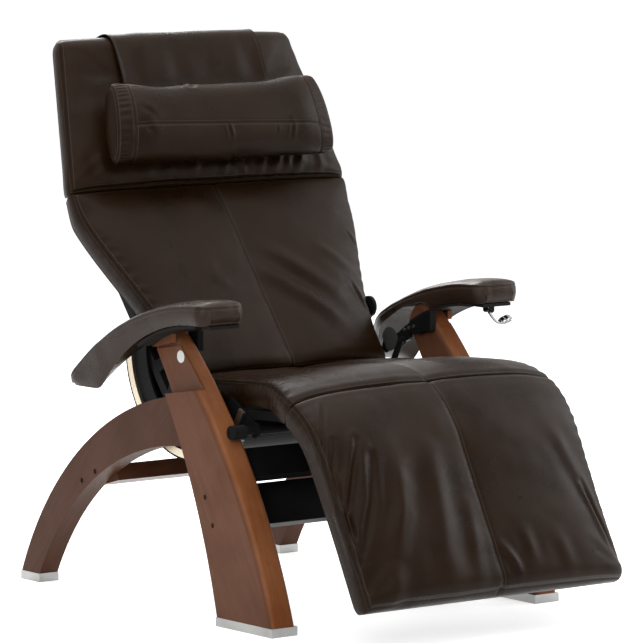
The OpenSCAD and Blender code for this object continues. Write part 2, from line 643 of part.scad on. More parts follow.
// The strap's inner line in the head section's own plane: [along, towards the sitter].
flap_line = [[50, head_crown + 0.8], [head_len - 26, head_crown + 0.8], [head_len - 4, head_crown - 7],
    [head_len + 4, 6], [head_len + 4, -46], [head_len - 2, -head_frame_h - tube - cover - 0.9],
    [150, -head_frame_h - tube - cover - 0.9]];
flap_out = [[50, flap_t], [head_len - 26, flap_t], [head_len - 2, 2.4], [head_len + 6.5, 2],
    [head_len + 6.5, -2], [head_len, -flap_t], [150, -flap_t]];
module pillow_flap() color(leather) back_plane(crease, head_lean) translate([-flap_w / 2, 0, 0])
    rotate([90, 0, 90]) linear_extrude(flap_w) polygon(concat(flap_line,
        [for (i = [6:-1:0]) [flap_out[i].x, flap_line[i].y + flap_out[i].y]]));
weight_h = 90;
weight_t = 18;
module pillow_counterweight() color(leather) back_plane(crease, head_lean)
    translate([-flap_w / 2 + 20, 165, -head_frame_h - tube - cover - 4 - weight_t])
    cube([flap_w - 40, weight_h, weight_t]);

// ---------------------------------------------------------------- arms
level_z = arm_axis_z + 62;
bend_y = arm_axis_y - 156;
bend_c = [bend_y, level_z - arm_bend_r];
tip_y = arm_axis_y - arm_front;
notch_r = post_top_r + 1.5;
pin_d = 14;
pin_seat = 30;
pin_wall = 1.5;
bracket_x0 = rear_in - 1;
bracket_x1 = front_in - 0.5;
link_gap = 0.4;
link_x1 = bracket_x0 - link_gap;
link_x0 = link_x1 - 3.2;
cover_x1 = link_x0 - link_gap;
cover_x0 = cover_x1 - 2.2;
link_pin_d = 7;
cover_pin = [48, 498];
// The pad's rim is one arc; its underside is the bend, then level ahead of it, and cut level at the rear.
rim_c = arm_axis + [-187, -566];
rim_end_a = 43.6;
rim_tip_a = asin((tip_y - rim_c.x) / rim_r);
arm_l = rim_r * (rim_end_a - rim_tip_a) * PI / 180;
heel_z = arm_axis_z - 94;
function arm_thick(q, a) = let (v = q - bend_c, b = v * outward(a), level = (q.y - level_z) / cos(a),
        round = b - sqrt(max(0, b * b - v * v + arm_bend_r * arm_bend_r)))
    min(q.x < bend_y ? level : round, (q.y - heel_z) / cos(a));
// The inner side thins and then tapers towards the rear.
function arm_lift(q, e) = min(0.72 * e, 0.4 * max(0, q.x + 78));
function arm_taper(q) = 56 * smooth((q.x - 70) / 130);
function tip_in(d) = d < tip_r ? tip_r - sqrt(tip_r * tip_r - pow(tip_r - max(d, 2), 2)) : 0;
module arm_pad(s) color(leather) difference() {
    pad([for (t = ticks(arm_l, 11)) let (a = -mix(rim_end_a, rim_tip_a, t), q = rim_c + rim_r * outward(a),
        in = tip_in((1 - t) * arm_l) + 0.5 * tip_in(t * arm_l) + arm_taper(q) / 2)
        station(q, a, arm_w / 2 - in, arm_thick(q, a), arm_crown, 0, draw_in(t, arm_l, 0.2, 0.8), 4,
            arm_lift(q, arm_thick(q, a)), arm_taper(q) / 2)], s * arm_x, -s);
    disc(s, bracket_x0 - 6, post_face + 1.4, arm_axis, notch_r);
}
module arm_pad_left() arm_pad(1);
module arm_pad_right() arm_pad(-1);
board_in = bracket_x0 + 6;
board_drop = 1.2;
board_out = arm_x + arm_w / 2 - 8;
module arm_board(s) color(black) difference() {
    union() {
        intersection() {
            difference() {
                disc(s, board_in, board_out, bend_c, arm_bend_r - board_drop);
                disc(s, board_in - 1, board_out + 1, bend_c, arm_bend_r - board_t);
            }
            half(s, board_in - 1, board_out + 1) sector(bend_c, 2 * arm_bend_r, 90 - arm_turn, 90);
        }
        half(s, board_in + tip_r / 2, board_out - tip_r / 2) translate([tip_y + 6, level_z - board_t])
            square([bend_y - tip_y - 6, board_t - touch]);
    }
    disc(s, bracket_x1 + 0.2, post_face + 1.4, arm_axis, notch_r);
}
module arm_board_left() arm_board(1);
module arm_board_right() arm_board(-1);
module arm_bracket(s) color(black) difference() {
    union() {
        half(s, bracket_x0, bracket_x1) intersection() {
            union() {
                polygon([[-97, 530], [-97, 600], [16, 600], [4, 515]]);
                translate(arm_axis) circle(pin_d / 2 + 7);
            }
            translate(bend_c) circle(arm_bend_r - board_t - touch, $fn = 360);
        }
        bar(s, bracket_x0, bracket_x1 - 5, [-16, 516], [50, 485], 26);
        disc(s, bracket_x0 + 1, front_in + pin_seat - 1, arm_axis, pin_d / 2 - pin_wall - run_fit);
        disc(s, cover_x1, bracket_x0 + 1, cover_pin, link_pin_d / 2);
    }
}
module arm_bracket_left() arm_bracket(1);
module arm_bracket_right() arm_bracket(-1);
block_x0 = post_face + 1.6;
module arm_block(s) color(walnut) half(s, block_x0, block_x0 + block_w) intersection() {
    polygon([[-84, 550], [-2, 532], [11, 548], [11, 600], [-84, 600]]);
    translate(bend_c) circle(arm_bend_r - board_t - touch, $fn = 360);
}
module arm_block_left() arm_block(1);
module arm_block_right() arm_block(-1);
cover_r = 25;
cover_c = [30, 503];
module link_cover(s) color(steel) half(s, cover_x0, cover_x1) intersection() {
    translate(cover_c) circle(cover_r, $fn = 96);
    translate(cover_c) rotate(-30) translate([-cover_r, -cover_r]) square([1.8 * cover_r, 2 * cover_r]);
}
module link_cover_left() link_cover(1);
module link_cover_right() link_cover(-1);
link_w = 14;
link_slack = 2.6;
module arm_link(s) color(black) difference() {
    union() {
        bar(s, link_x0, link_x1, link_pin, cover_pin, link_w);
        disc(s, link_x0, link_x1, link_pin, link_pin_d / 2 + link_slack + 3);
    }
    disc(s, link_x0 - 1, link_x1 + 1, link_pin, link_pin_d / 2 + link_slack);
    disc(s, link_x0 - 1, link_x1 + 1, cover_pin, link_pin_d / 2 + run_fit);
}
module arm_link_left() arm_link(1);
module arm_link_right() arm_link(-1);
module arm_pivot_pins() color(steel) for (s = [-1, 1]) difference() {
    disc(s, front_in, front_in + pin_seat, arm_axis, pin_d / 2);
    disc(s, front_in - 1, front_in + pin_seat + 1, arm_axis, pin_d / 2 - pin_wall);
}
screw_at = [[-12, 526], [-27.5, 530.5], [-43, 535]];
module bracket_bolts(s) color(steel) for (q = screw_at) disc(s, bracket_x0 - 2.5, bracket_x0, q, 3.5);
module bracket_bolts_left() bracket_bolts(1);
module bracket_bolts_right() bracket_bolts(-1);

// ---------------------------------------------------------------- recline lever
lever_y = -230;
lever_w = 14;
lever_drop = 14;
lever_c = [338, level_z - lever_drop];
lever_t = 6;
lever_pin_r = 2.1;
module front_view(y0, y1) translate([0, datum_y + y1, 0]) rotate([90, 0, 0])
    linear_extrude(y1 - y0) children();
module lever_leg(p, q) translate(p) rotate(atan2(q.y - p.y, q.x - p.x)) translate([0, -lever_t / 2])
    square([norm(q - p), lever_t]);
lever_knee = lever_c + [26, -30];
lever_tip = lever_c + [58, -18];
module recline_lever() color(steel) difference() {
    front_view(lever_y - lever_w / 2, lever_y + lever_w / 2) {
        translate(lever_c) circle(6);
        lever_leg(lever_c, lever_knee);
        translate(lever_knee) circle(lever_t / 2);
        lever_leg(lever_knee, lever_tip);
        translate(lever_tip) circle(lever_t / 2);
    }
    front_view(lever_y - lever_w, lever_y + lever_w) translate(lever_c) circle(lever_pin_r + run_fit);
}
ear_t = 4;
ear_gap = 0.4;
module lever_mount() color(black) {
    for (e = [-1, 1]) {
        y = lever_y + e * (lever_w / 2 + ear_gap + ear_t / 2);
        front_view(y - ear_t / 2, y + ear_t / 2) {
            translate(lever_c) circle(6);
            translate(lever_c - [6, 0]) square([12, lever_drop - board_t - touch]);
        }
    }
    front_view(lever_y - lever_w / 2 - ear_gap - 1, lever_y + lever_w / 2 + ear_gap + 1)
        translate(lever_c) circle(lever_pin_r);
}

front_leg_left();
front_leg_right();
rear_leg_left();
rear_leg_right();
post_panels();
badge_discs();
front_foot_caps();
rear_foot_caps();
rear_cross_bar();
lower_cross_channel();
upper_cross_channel();
leg_bolts();
roller_axles();
front_rollers();
rear_rollers();
brake_caliper();
side_plate_left();
side_plate_right();
curved_rail_left();
curved_rail_right();
rail_treads();
rear_shell();
seat_frame();
seat_pan();
stop_bar();
stop_caps();
brake_strip();
back_frame();
back_board();
back_cover();
massage_motors();
legrest_frame();
legrest_board();
seat_cushion();
legrest_cushion();
lower_back_cushion();
head_cushion();
pillow_flap();
head_pillow();
pillow_counterweight();
arm_pad_left();
arm_pad_right();
arm_board_left();
arm_board_right();
arm_bracket_left();
arm_bracket_right();
arm_block_left();
arm_block_right();
link_cover_left();
link_cover_right();
arm_link_left();
arm_link_right();
arm_pivot_pins();
bracket_bolts_left();
bracket_bolts_right();
recline_lever();
lever_mount();
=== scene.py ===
import math
import bmesh
import bpy
import numpy as np
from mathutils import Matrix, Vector


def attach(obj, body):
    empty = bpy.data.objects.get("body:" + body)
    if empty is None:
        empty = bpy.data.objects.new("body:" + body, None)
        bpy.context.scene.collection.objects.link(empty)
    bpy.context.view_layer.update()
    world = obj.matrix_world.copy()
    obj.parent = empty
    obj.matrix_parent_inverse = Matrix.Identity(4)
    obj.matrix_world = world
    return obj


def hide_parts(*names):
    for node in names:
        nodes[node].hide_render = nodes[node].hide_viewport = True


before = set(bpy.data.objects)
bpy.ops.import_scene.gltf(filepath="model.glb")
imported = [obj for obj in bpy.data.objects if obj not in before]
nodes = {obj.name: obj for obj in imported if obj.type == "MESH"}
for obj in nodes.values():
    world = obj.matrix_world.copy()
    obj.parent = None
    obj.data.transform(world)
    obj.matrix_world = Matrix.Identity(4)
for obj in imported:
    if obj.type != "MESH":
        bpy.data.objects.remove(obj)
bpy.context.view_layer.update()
scene = bpy.context.scene
print("massage chair: frame loaded,", len(nodes), "nodes")

# lines that the upholstery follows in side view: metres, and degrees of fall on the way down towards the feet
seatLine = {"start": (0.0877, 0.468), "tilt": -3.0, "flat": 0.308, "kneeRadius": 0.217, "seamSlope": 28.0,
            "legSlope": 62.0, "leg": 0.318, "step": 0.001, "spare": 0.04}
backLine = {"start": (0.0937, 0.467), "slope": 52.0, "low": 0.456, "headSlope": 67.0, "head": 0.333,
            "blend": 0.06, "creaseDrop": 0.011}


def wayDown(slope):
    return np.array([-np.cos(slope), -np.sin(slope)])


def wayOut(slope):
    return np.array([-np.sin(slope), np.cos(slope)])


def easeIn(t):
    u = np.clip(t, 0, 1)
    return u * u * (3 - 2 * u)


def mixed(a, b, t):
    return a + (b - a) * t


def seatRun(slope):
    # length along the seat's line, from its rear end to where the knee has that slope
    return seatLine["flat"] + seatLine["kneeRadius"] * math.radians(slope - seatLine["tilt"])


seatEnd = seatRun(seatLine["seamSlope"])
legEnd = seatRun(seatLine["legSlope"]) + seatLine["leg"]


def walkSeat(line):
    # the seat's line in small steps, from a little behind its rear end to a little past the leg rest
    tilt, low = math.radians(line["tilt"]), math.radians(line["legSlope"])
    step, spare = line["step"], line["spare"]
    s = np.arange(-spare, legEnd + spare, step)
    slope = np.clip(tilt + (s - line["flat"]) / line["kneeRadius"], tilt, low)
    mid = np.clip(tilt + (s + step / 2 - line["flat"]) / line["kneeRadius"], tilt, low)
    way = wayDown(mid) * step
    at = np.array(line["start"])[:, None] + np.cumsum(way, 1) - way[:, :1] * (spare / step + 1)
    return s, at[0], at[1], slope


seatWalk = walkSeat(seatLine)


def onSeat(s):
    return [np.interp(s, seatWalk[0], row) for row in seatWalk[1:]]


def onBack(s):
    # s runs up the back; the head section starts at the crease
    line = backLine
    low, head = math.radians(line["slope"]), math.radians(line["headSlope"])
    crease = (low + head) / 2
    foot = np.array(line["start"])[:, None]
    bend = foot - line["low"] * wayDown(low)[:, None]
    k = easeIn((s - line["low"] + line["blend"]) / line["blend"])
    j = easeIn((line["low"] + line["blend"] - s) / line["blend"])
    onLow = foot - wayDown(low)[:, None] * s - line["creaseDrop"] * (1 - k) * wayOut(low)[:, None]
    onHead = bend - wayDown(head)[:, None] * (s - line["low"])
    lower = s <= line["low"]
    at = np.where(lower, onLow, onHead)
    return at[0], at[1], np.where(lower, mixed(low, crease, k), mixed(head, crease, j))


def makeObject(name, points, faces):
    mesh = bpy.data.meshes.new(name)
    mesh.from_pydata([tuple(p) for p in points], [], faces)
    mesh.validate()
    mesh.update()
    obj = bpy.data.objects.new(name, mesh)
    scene.collection.objects.link(obj)
    mesh.polygons.foreach_set("use_smooth", [True] * len(mesh.polygons))
    return obj


def boxShell(across, along, deep):
    # outer faces of a box cut at the given places, as points (a, b, c) and four-sided faces
    index, points, faces = {}, [], []
    iEnd, jEnd, kEnd = len(across) - 1, len(along) - 1, len(deep) - 1

    def corner(i, j, k):
        if (i, j, k) not in index:
            index[i, j, k] = len(points)
            points.append((across[i], along[j], deep[k]))
        return index[i, j, k]

    def face(*corners):
        faces.append([corner(*c) for c in corners])

    for i in range(iEnd):
        for j in range(jEnd):
            face((i, j, kEnd), (i + 1, j, kEnd), (i + 1, j + 1, kEnd), (i, j + 1, kEnd))
            face((i, j, 0), (i, j + 1, 0), (i + 1, j + 1, 0), (i + 1, j, 0))
    for i in range(iEnd):
        for k in range(kEnd):
            face((i, 0, k), (i + 1, 0, k), (i + 1, 0, k + 1), (i, 0, k + 1))
            face((i, jEnd, k), (i, jEnd, k + 1), (i + 1, jEnd, k + 1), (i + 1, jEnd, k))
    for j in range(jEnd):
        for k in range(kEnd):
            face((0, j, k), (0, j, k + 1), (0, j + 1, k + 1), (0, j + 1, k))
            face((iEnd, j, k), (iEnd, j + 1, k), (iEnd, j + 1, k + 1), (iEnd, j, k + 1))
    return np.array(points), faces


def cuts(length, spacing, close=(0.0025, 0.006, 0.011, 0.018), middle=()):
    # places along a length, closer together at both ends and at the given middles
    inner = np.linspace(close[-1], length - close[-1], max(2, int(length / spacing)))
    for m in middle:
        inner = inner[np.abs(inner - m) > spacing * 0.6]
    return np.array(sorted(set([0, length, *close, *[length - c for c in close], *middle, *inner[1:-1]])))


def setFloats(obj, **values):
    for name, data in values.items():
        attribute = obj.data.attributes.get(name) or obj.data.attributes.new(name, "FLOAT", "POINT")
        attribute.data.foreach_set("value", np.asarray(data, np.float32))


def getFloats(obj, *names):
    rows = []
    for name in names:
        row = np.zeros(len(obj.data.vertices), np.float32)
        obj.data.attributes[name].data.foreach_get("value", row)
        rows.append(row.astype(float))
    return rows


def getVectors(items, key):
    out = np.zeros(len(items) * 3, np.float32)
    items.foreach_get(key, out)
    return out.reshape(-1, 3).astype(float)


def setPoints(mesh, points):
    mesh.vertices.foreach_set("co", np.asarray(points, np.float32).ravel())
    mesh.update()


def raiseSurface(obj, lift):
    # moves every point along its normal
    mesh = obj.data
    setPoints(mesh, getVectors(mesh.vertices, "co") + getVectors(mesh.vertex_normals, "vector") * lift[:, None])


def faceOutwards(obj):
    bm = bmesh.new()
    bm.from_mesh(obj.data)
    bmesh.ops.recalc_face_normals(bm, faces=bm.faces)
    bm.to_mesh(obj.data)
    bm.free()


def subdivide(obj):
    smooth = obj.modifiers.new("Subdivision", "SUBSURF")
    smooth.levels = smooth.render_levels = 1
    old = obj.data
    made = bpy.data.meshes.new_from_object(obj.evaluated_get(bpy.context.evaluated_depsgraph_get()))
    obj.modifiers.clear()
    obj.data = made
    made.name = obj.name
    bpy.data.meshes.remove(old)
    made.polygons.foreach_set("use_smooth", [True] * len(made.polygons))


coverFrames = 20
cover = {"quality": 5, "mass": 0.4, "air_damping": 2, "tension_stiffness": 20, "compression_stiffness": 20,
         "shear_stiffness": 8, "bending_stiffness": 4, "use_pressure": True, "vertex_group_mass": "held",
         "pin_stiffness": 1}


def inflate(obj, held, pressure, cap):
    # air pressure in a cover: held is 1 where it is fastened and 0 where it is free, and cap is its longest move
    before = getVectors(obj.data.vertices, "co")
    held = np.round(held, 2)
    group = obj.vertex_groups.new(name="held")
    for value in np.unique(held):
        if value > 0:
            group.add(np.nonzero(held == value)[0].tolist(), float(value), "REPLACE")
    cloth = obj.modifiers.new("Cloth", "CLOTH")
    for key, value in cover.items():
        setattr(cloth.settings, key, value)
    cloth.settings.uniform_pressure_force = pressure
    cloth.settings.effector_weights.gravity = 0
    cloth.collision_settings.use_collision = False
    cloth.collision_settings.use_self_collision = False
    cloth.point_cache.frame_start, cloth.point_cache.frame_end = 1, coverFrames
    for f in range(1, coverFrames + 1):
        scene.frame_set(f)
    after = getVectors(obj.evaluated_get(bpy.context.evaluated_depsgraph_get()).data.vertices, "co")
    move = after - before
    far = np.linalg.norm(move, axis=1)
    move *= np.minimum(1, cap / np.maximum(far, 1e-9))[:, None]
    obj.modifiers.clear()
    obj.vertex_groups.clear()
    setPoints(obj.data, before + move)
    scene.frame_set(1)
    print("  inflated", obj.name, "by up to %.1f mm" % (min(far.max(), cap) * 1000))


def softNoise(u, v, size, seed):
    # smooth random values from -1 to 1, about size apart
    grid = np.random.default_rng(seed).uniform(-1, 1, (64, 64))
    x, y = np.asarray(u) / size + 32, np.asarray(v) / size + 32
    i, j = np.floor(x).astype(int), np.floor(y).astype(int)
    p, q = easeIn(x - i), easeIn(y - j)

    def at(a, b):
        return grid[a % 64, b % 64]

    return (at(i, j) * (1 - p) + at(i + 1, j) * p) * (1 - q) + (at(i, j + 1) * (1 - p) + at(i + 1, j + 1) * p) * q


def toLine(u, v, line):
    # signed distance to a line of points, and the share of its length at the nearest place
    line = np.array(line, float)
    best, side, share = np.full(len(u), 9.0), np.zeros(len(u)), np.zeros(len(u))
    lengths = np.linalg.norm(np.diff(line, axis=0), axis=1)
    gone = 0.0
    for p, q, length in zip(line[:-1], line[1:], lengths):
        w = (q - p) / length
        t = np.clip((u - p[0]) * w[0] + (v - p[1]) * w[1], 0, length)
        du, dv = u - p[0] - t * w[0], v - p[1] - t * w[1]
        d = np.hypot(du, dv)
        closer = d < best
        best[closer] = d[closer]
        side[closer] = np.sign(w[0] * dv - w[1] * du)[closer]
        share[closer] = ((gone + t) / lengths.sum())[closer]
        gone += length
    return best * np.where(side == 0, 1, side), share


def foldHeight(u, v, line, width, lift, kind):
    # a ridge is rounded; a crease has the leather up on both sides, more on one; both die out at their ends
    d, share = toLine(u, v, line)
    taper = np.sin(np.pi * np.clip(0.04 + 0.92 * share, 0, 1)) ** 0.6

    def bump(at, spread):
        return np.exp(-((d - at * width) / (spread * width)) ** 2)

    if kind == "ridge":
        return lift * taper * (bump(0, 1) - 0.4 * bump(1.8, 1) - 0.4 * bump(-1.8, 1))
    return lift * taper * (0.9 * bump(1, 0.8) + 0.35 * bump(-1, 0.8) - 0.9 * bump(0, 0.5))


def curl(gap, reach):
    # 1 at an end, easing to 0 at a distance of reach, as a quarter round
    u = np.clip(1 - gap / reach, 0, 1)
    return 1 - np.sqrt(1 - u * u)


def ruleAt(rule, s):
    # a cushion's size at the place s: a number, or (first, last, from, to) eased between two places, or a function
    if callable(rule):
        return rule(s)
    if isinstance(rule, tuple):
        first, last, start, end = rule
        return mixed(first, last, easeIn((s - start) / (end - start)))
    return np.full(len(s), rule)


# what all cushions share: spacing of the mesh, how the ends are drawn in, how the seams hold and press, unevenness
sewing = {"spacing": 0.0078, "midLoop": 0.006, "endReach": 0.024, "endIn": 0.010, "endDown": 0.012, "endUp": 0.006,
          "belly": 0.003, "tuck": 0.004, "roundness": 3.2, "valleyWidth": 0.045, "hold": 0.9, "midHold": 0.8,
          "press": 0.0020, "pressWidth": 0.0035, "midPress": 0.0022, "midWidth": 0.006,
          "wave": 0.0024, "waveSize": 0.11, "waveSeed": 3}
seamSpan = 0.04  # distances from seams are kept up to here


def puckers(u, v, edge, spec):
    # small puckers square to the side seam, stronger where the leather is gathered
    height, pitch, reach, seed = spec["puckers"]
    phase = 2 * np.pi * v / pitch + 2.5 * softNoise(v, np.zeros(len(v)), pitch * 2.5, seed)
    strength = np.clip(0.6 + 0.6 * softNoise(v, np.sign(u) * 0.3, pitch * 4, seed + 1), 0, 1)
    return height * strength * ruleAt(spec["gathered"], v) * np.sin(phase) * np.exp(-(edge / reach) ** 2)


def shapeLeather(obj, spec):
    # seams pressed in, folds and puckers raised, and a slow unevenness
    u, v, c, edge, mid = getFloats(obj, "acrossAt", "alongAt", "topShare", "edgeSeam", "midSeam")
    top = easeIn((c - 0.55) / 0.4)
    lift = -sewing["press"] * np.exp(-(edge / sewing["pressWidth"]) ** 2)
    lift -= sewing["midPress"] * np.exp(-(mid / sewing["midWidth"]) ** 2) * top
    for fold in spec["folds"]:
        lift += foldHeight(u, v, *fold) * top
    lift += puckers(u, v, edge, spec)
    size, seed = sewing["waveSize"], sewing["waveSeed"]
    lift += sewing["wave"] * (softNoise(u, v, size, seed) + 0.3 * softNoise(u, v, size / 3, seed + 1)) * top
    raiseSurface(obj, lift)


def makeCushion(name, spec):
    # a boxed cushion lofted along its side seam, with a crowned panel and drawn-in ends
    length, widest, loop = spec["to"] - spec["from"], 2 * spec["widest"], sewing["midLoop"]
    middle = (widest / 2 - loop, widest / 2, widest / 2 + loop)
    across = cuts(widest, sewing["spacing"], middle=middle) / widest * 2 - 1
    along = cuts(length, sewing["spacing"]) / length
    unit, faces = boxShell(across, along, np.linspace(0, 1, 7))
    a, b, c = unit.T
    s = spec["from"] + b * length
    y, z, slope = spec["line"](s)
    startGap, endGap = s - spec["from"], spec["to"] - s
    draw = spec["drawStart"] * curl(startGap, sewing["endReach"]) + spec["drawEnd"] * curl(endGap, sewing["endReach"])
    half, edge = ruleAt(spec["half"], s) - sewing["endIn"] * draw, ruleAt(spec["edge"], s)
    crown = ruleAt(spec["crown"], s) * (1 - 0.6 * draw)
    top = crown * (1 - np.abs(a) ** sewing["roundness"]) ** 0.6 - sewing["endDown"] * draw
    top -= ruleAt(spec["valley"], s) * np.exp(-(a * half / sewing["valleyWidth"]) ** 2) * (1 - draw)
    bottom = sewing["endUp"] * draw - edge
    h = bottom + (top - bottom) * c
    bulge = sewing["belly"] * 4 * c * (1 - c) - sewing["tuck"] * (1 - c) ** 2
    x = a * half + np.where(np.abs(a) > 0.9999, np.sign(a) * bulge, 0)
    push = np.where((b < 1e-6) | (b > 1 - 1e-6), np.where(b < 0.5, -1, 1) * bulge, 0)
    way, out = wayDown(slope) * spec["runs"], wayOut(slope)
    obj = makeObject(name, np.stack([x, y + push * way[0] + h * out[0], z + push * way[1] + h * out[1]], 1), faces)
    faceOutwards(obj)
    onTop = c > 0.999
    edgeGap = np.where(onTop, np.minimum(half - np.abs(x), np.minimum(startGap, endGap)), -(1 - c) * edge)
    midGap = np.clip(x, -seamSpan, seamSpan) if spec["midSeam"] else np.full(len(x), seamSpan)
    setFloats(obj, edgeSeam=np.clip(edgeGap, -seamSpan, seamSpan), midSeam=midGap, seamRun=s + x,
              acrossAt=x, alongAt=s, topShare=c)
    held = np.where(c < 0.5, 1.0, 0.0)
    held = np.where(onTop & (np.abs(edgeGap) < 1e-4), sewing["hold"], held)
    if spec["midSeam"]:
        held = np.where(onTop & (np.abs(x) < 0.002), np.maximum(held, sewing["midHold"]), held)
    inflate(obj, held, spec["pressure"], spec["cap"])
    subdivide(obj)
    shapeLeather(obj, spec)
    return obj


def startFinish(name):
    material = bpy.data.materials.new(name)
    material.use_nodes = True
    tree = material.node_tree
    return material, tree, tree.nodes["Principled BSDF"]


def add(tree, kind, settings=None, **sockets):
    # a node; n0, n1 and so on name sockets by number
    node = tree.nodes.new(kind)
    for key, value in (settings or {}).items():
        setattr(node, key, value)
    for key, value in sockets.items():
        byNumber = key[0] == "n" and key[1:].isdigit()
        socket = node.inputs[int(key[1:])] if byNumber else node.inputs[key.replace("_", " ")]
        if isinstance(value, bpy.types.NodeSocket):
            tree.links.new(value, socket)
        else:
            socket.default_value = value
    return node


def sums(tree, kind, a, b=0.0):
    return add(tree, "ShaderNodeMath", {"operation": kind}, n0=a, n1=b).outputs[0]


def shares(tree, a, shareA, b, shareB):
    return sums(tree, "ADD", sums(tree, "MULTIPLY", a, shareA), sums(tree, "MULTIPLY", b, shareB))


def ramp(tree, factor, stops):
    node = tree.nodes.new("ShaderNodeValToRGB")
    tree.links.new(factor, node.inputs[0])
    elements = node.color_ramp.elements
    for i, (place, colour) in enumerate(stops):
        e = elements[i] if i < 2 else elements.new(place)
        e.position, e.color = place, (*colour, 1)
    return node.outputs[0]


def range01(tree, value, low, high, toLow=0.0, toHigh=1.0):
    return add(tree, "ShaderNodeMapRange", {"interpolation_type": "SMOOTHSTEP"}, Value=value, From_Min=low,
               From_Max=high, To_Min=toLow, To_Max=toHigh).outputs[0]


def noise(tree, place, scale, detail, **more):
    return add(tree, "ShaderNodeTexNoise", Vector=place, Scale=scale, Detail=detail, **more).outputs["Fac"]


def mixColour(tree, factor, first, second):
    node = tree.nodes.new("ShaderNodeMix")
    node.data_type = "RGBA"
    tree.links.new(factor, node.inputs[0])
    for socket, value in ((node.inputs[6], first), (node.inputs[7], second)):
        if isinstance(value, bpy.types.NodeSocket):
            tree.links.new(value, socket)
        else:
            socket.default_value = (*value, 1)
    return node.outputs[2]


def finishWith(tree, shader, colour, roughness, level, strength, distance, height):
    bump = add(tree, "ShaderNodeBump", Strength=strength, Distance=distance, Height=height).outputs[0]
    for name, socket in (("Base Color", colour), ("Roughness", roughness), ("Normal", bump)):
        tree.links.new(socket, shader.inputs[name])
    shader.inputs["Specular IOR Level"].default_value = level


# the seam colour is painted shade for the crease along each seam
leatherLook = {"dark": (0.0105, 0.0045, 0.0014), "main": (0.0142, 0.0062, 0.0020), "light": (0.0195, 0.0090, 0.0034),
               "thread": (0.055, 0.037, 0.025), "seam": (0.004, 0.003, 0.0025), "roughness": 0.30, "gloss": 0.085,
               "grain": 520.0, "stitch": 0.0055, "stitchRow": 0.0045}
# the arm pads' copy of the leather is lighter in colour: painted light on their upper faces; its gloss is higher as
# well
armLitLeatherLook = dict(leatherLook, dark=(0.023, 0.0128, 0.0080), main=(0.0305, 0.0172, 0.0108),
                      light=(0.039, 0.0226, 0.0146), gloss=0.15)


def makeLeather(name, look):
    # grained leather, with painted shade darkening a crease along each seam and a row of stitches beside it
    material, tree, shader = startFinish(name)
    place = add(tree, "ShaderNodeTexCoord").outputs["Object"]
    cloudy, fine = noise(tree, place, 9.0, 4.0), noise(tree, place, 160.0, 3.0)
    pebble = add(tree, "ShaderNodeTexVoronoi", {"feature": "DISTANCE_TO_EDGE"}, Vector=place, Scale=look["grain"])
    colour = ramp(tree, shares(tree, cloudy, 0.7, fine, 0.3),
                  [(0.30, look["dark"]), (0.72, look["light"]), (0.52, look["main"])])
    height = sums(tree, "ADD", range01(tree, pebble.outputs["Distance"], 0.0, 0.25), sums(tree, "MULTIPLY", fine, 0.6))
    edge, mid, run = (add(tree, "ShaderNodeAttribute", {"attribute_name": key}).outputs["Fac"]
                      for key in ("edgeSeam", "midSeam", "seamRun"))
    near = sums(tree, "MINIMUM", sums(tree, "ABSOLUTE", edge), sums(tree, "ABSOLUTE", mid))
    # painted shade: the colour goes dark in the crease along each seam, which the bump also presses in
    crease = range01(tree, near, 0.0004, 0.0016, 1.0, 0.0)
    fromRow = sums(tree, "ABSOLUTE", sums(tree, "SUBTRACT", near, look["stitchRow"]))
    stitch = look["stitch"]
    dash = range01(tree, sums(tree, "PINGPONG", run, stitch / 2), stitch * 0.10, stitch * 0.16)
    thread = sums(tree, "MULTIPLY", range01(tree, fromRow, 0.0003, 0.0007, 1.0, 0.0), dash)
    colour = mixColour(tree, thread, colour, look["thread"])
    colour = mixColour(tree, sums(tree, "MULTIPLY", crease, 0.75), colour, look["seam"])
    height = sums(tree, "ADD", sums(tree, "SUBTRACT", height, sums(tree, "MULTIPLY", crease, 5.0)),
                  sums(tree, "MULTIPLY", thread, 2.0))
    roughness = range01(tree, cloudy, 0.3, 0.7, look["roughness"] - 0.05, look["roughness"] + 0.07)
    finishWith(tree, shader, colour, roughness, look["gloss"], 0.35, 0.0004, height)
    return material


# the face colours are painted light on faces that do not look along X, and the side colours are painted shade on faces
# that do
walnutLook = {"faceLitDark": (0.190, 0.062, 0.021), "faceLitLight": (0.265, 0.102, 0.041), "sideShadeDark": (0.112, 0.045, 0.023),
              "sideShadeLight": (0.150, 0.064, 0.036), "pore": (0.055, 0.019, 0.009), "roughness": 0.30, "gloss": 0.07}
# a darker copy of the same walnut for the rear legs and the cross bar: painted shade
rearShadedLook = dict(walnutLook, sideShadeDark=(0.070, 0.029, 0.016), sideShadeLight=(0.096, 0.042, 0.025),
                faceLitDark=(0.074, 0.028, 0.014), faceLitLight=(0.102, 0.041, 0.0215))


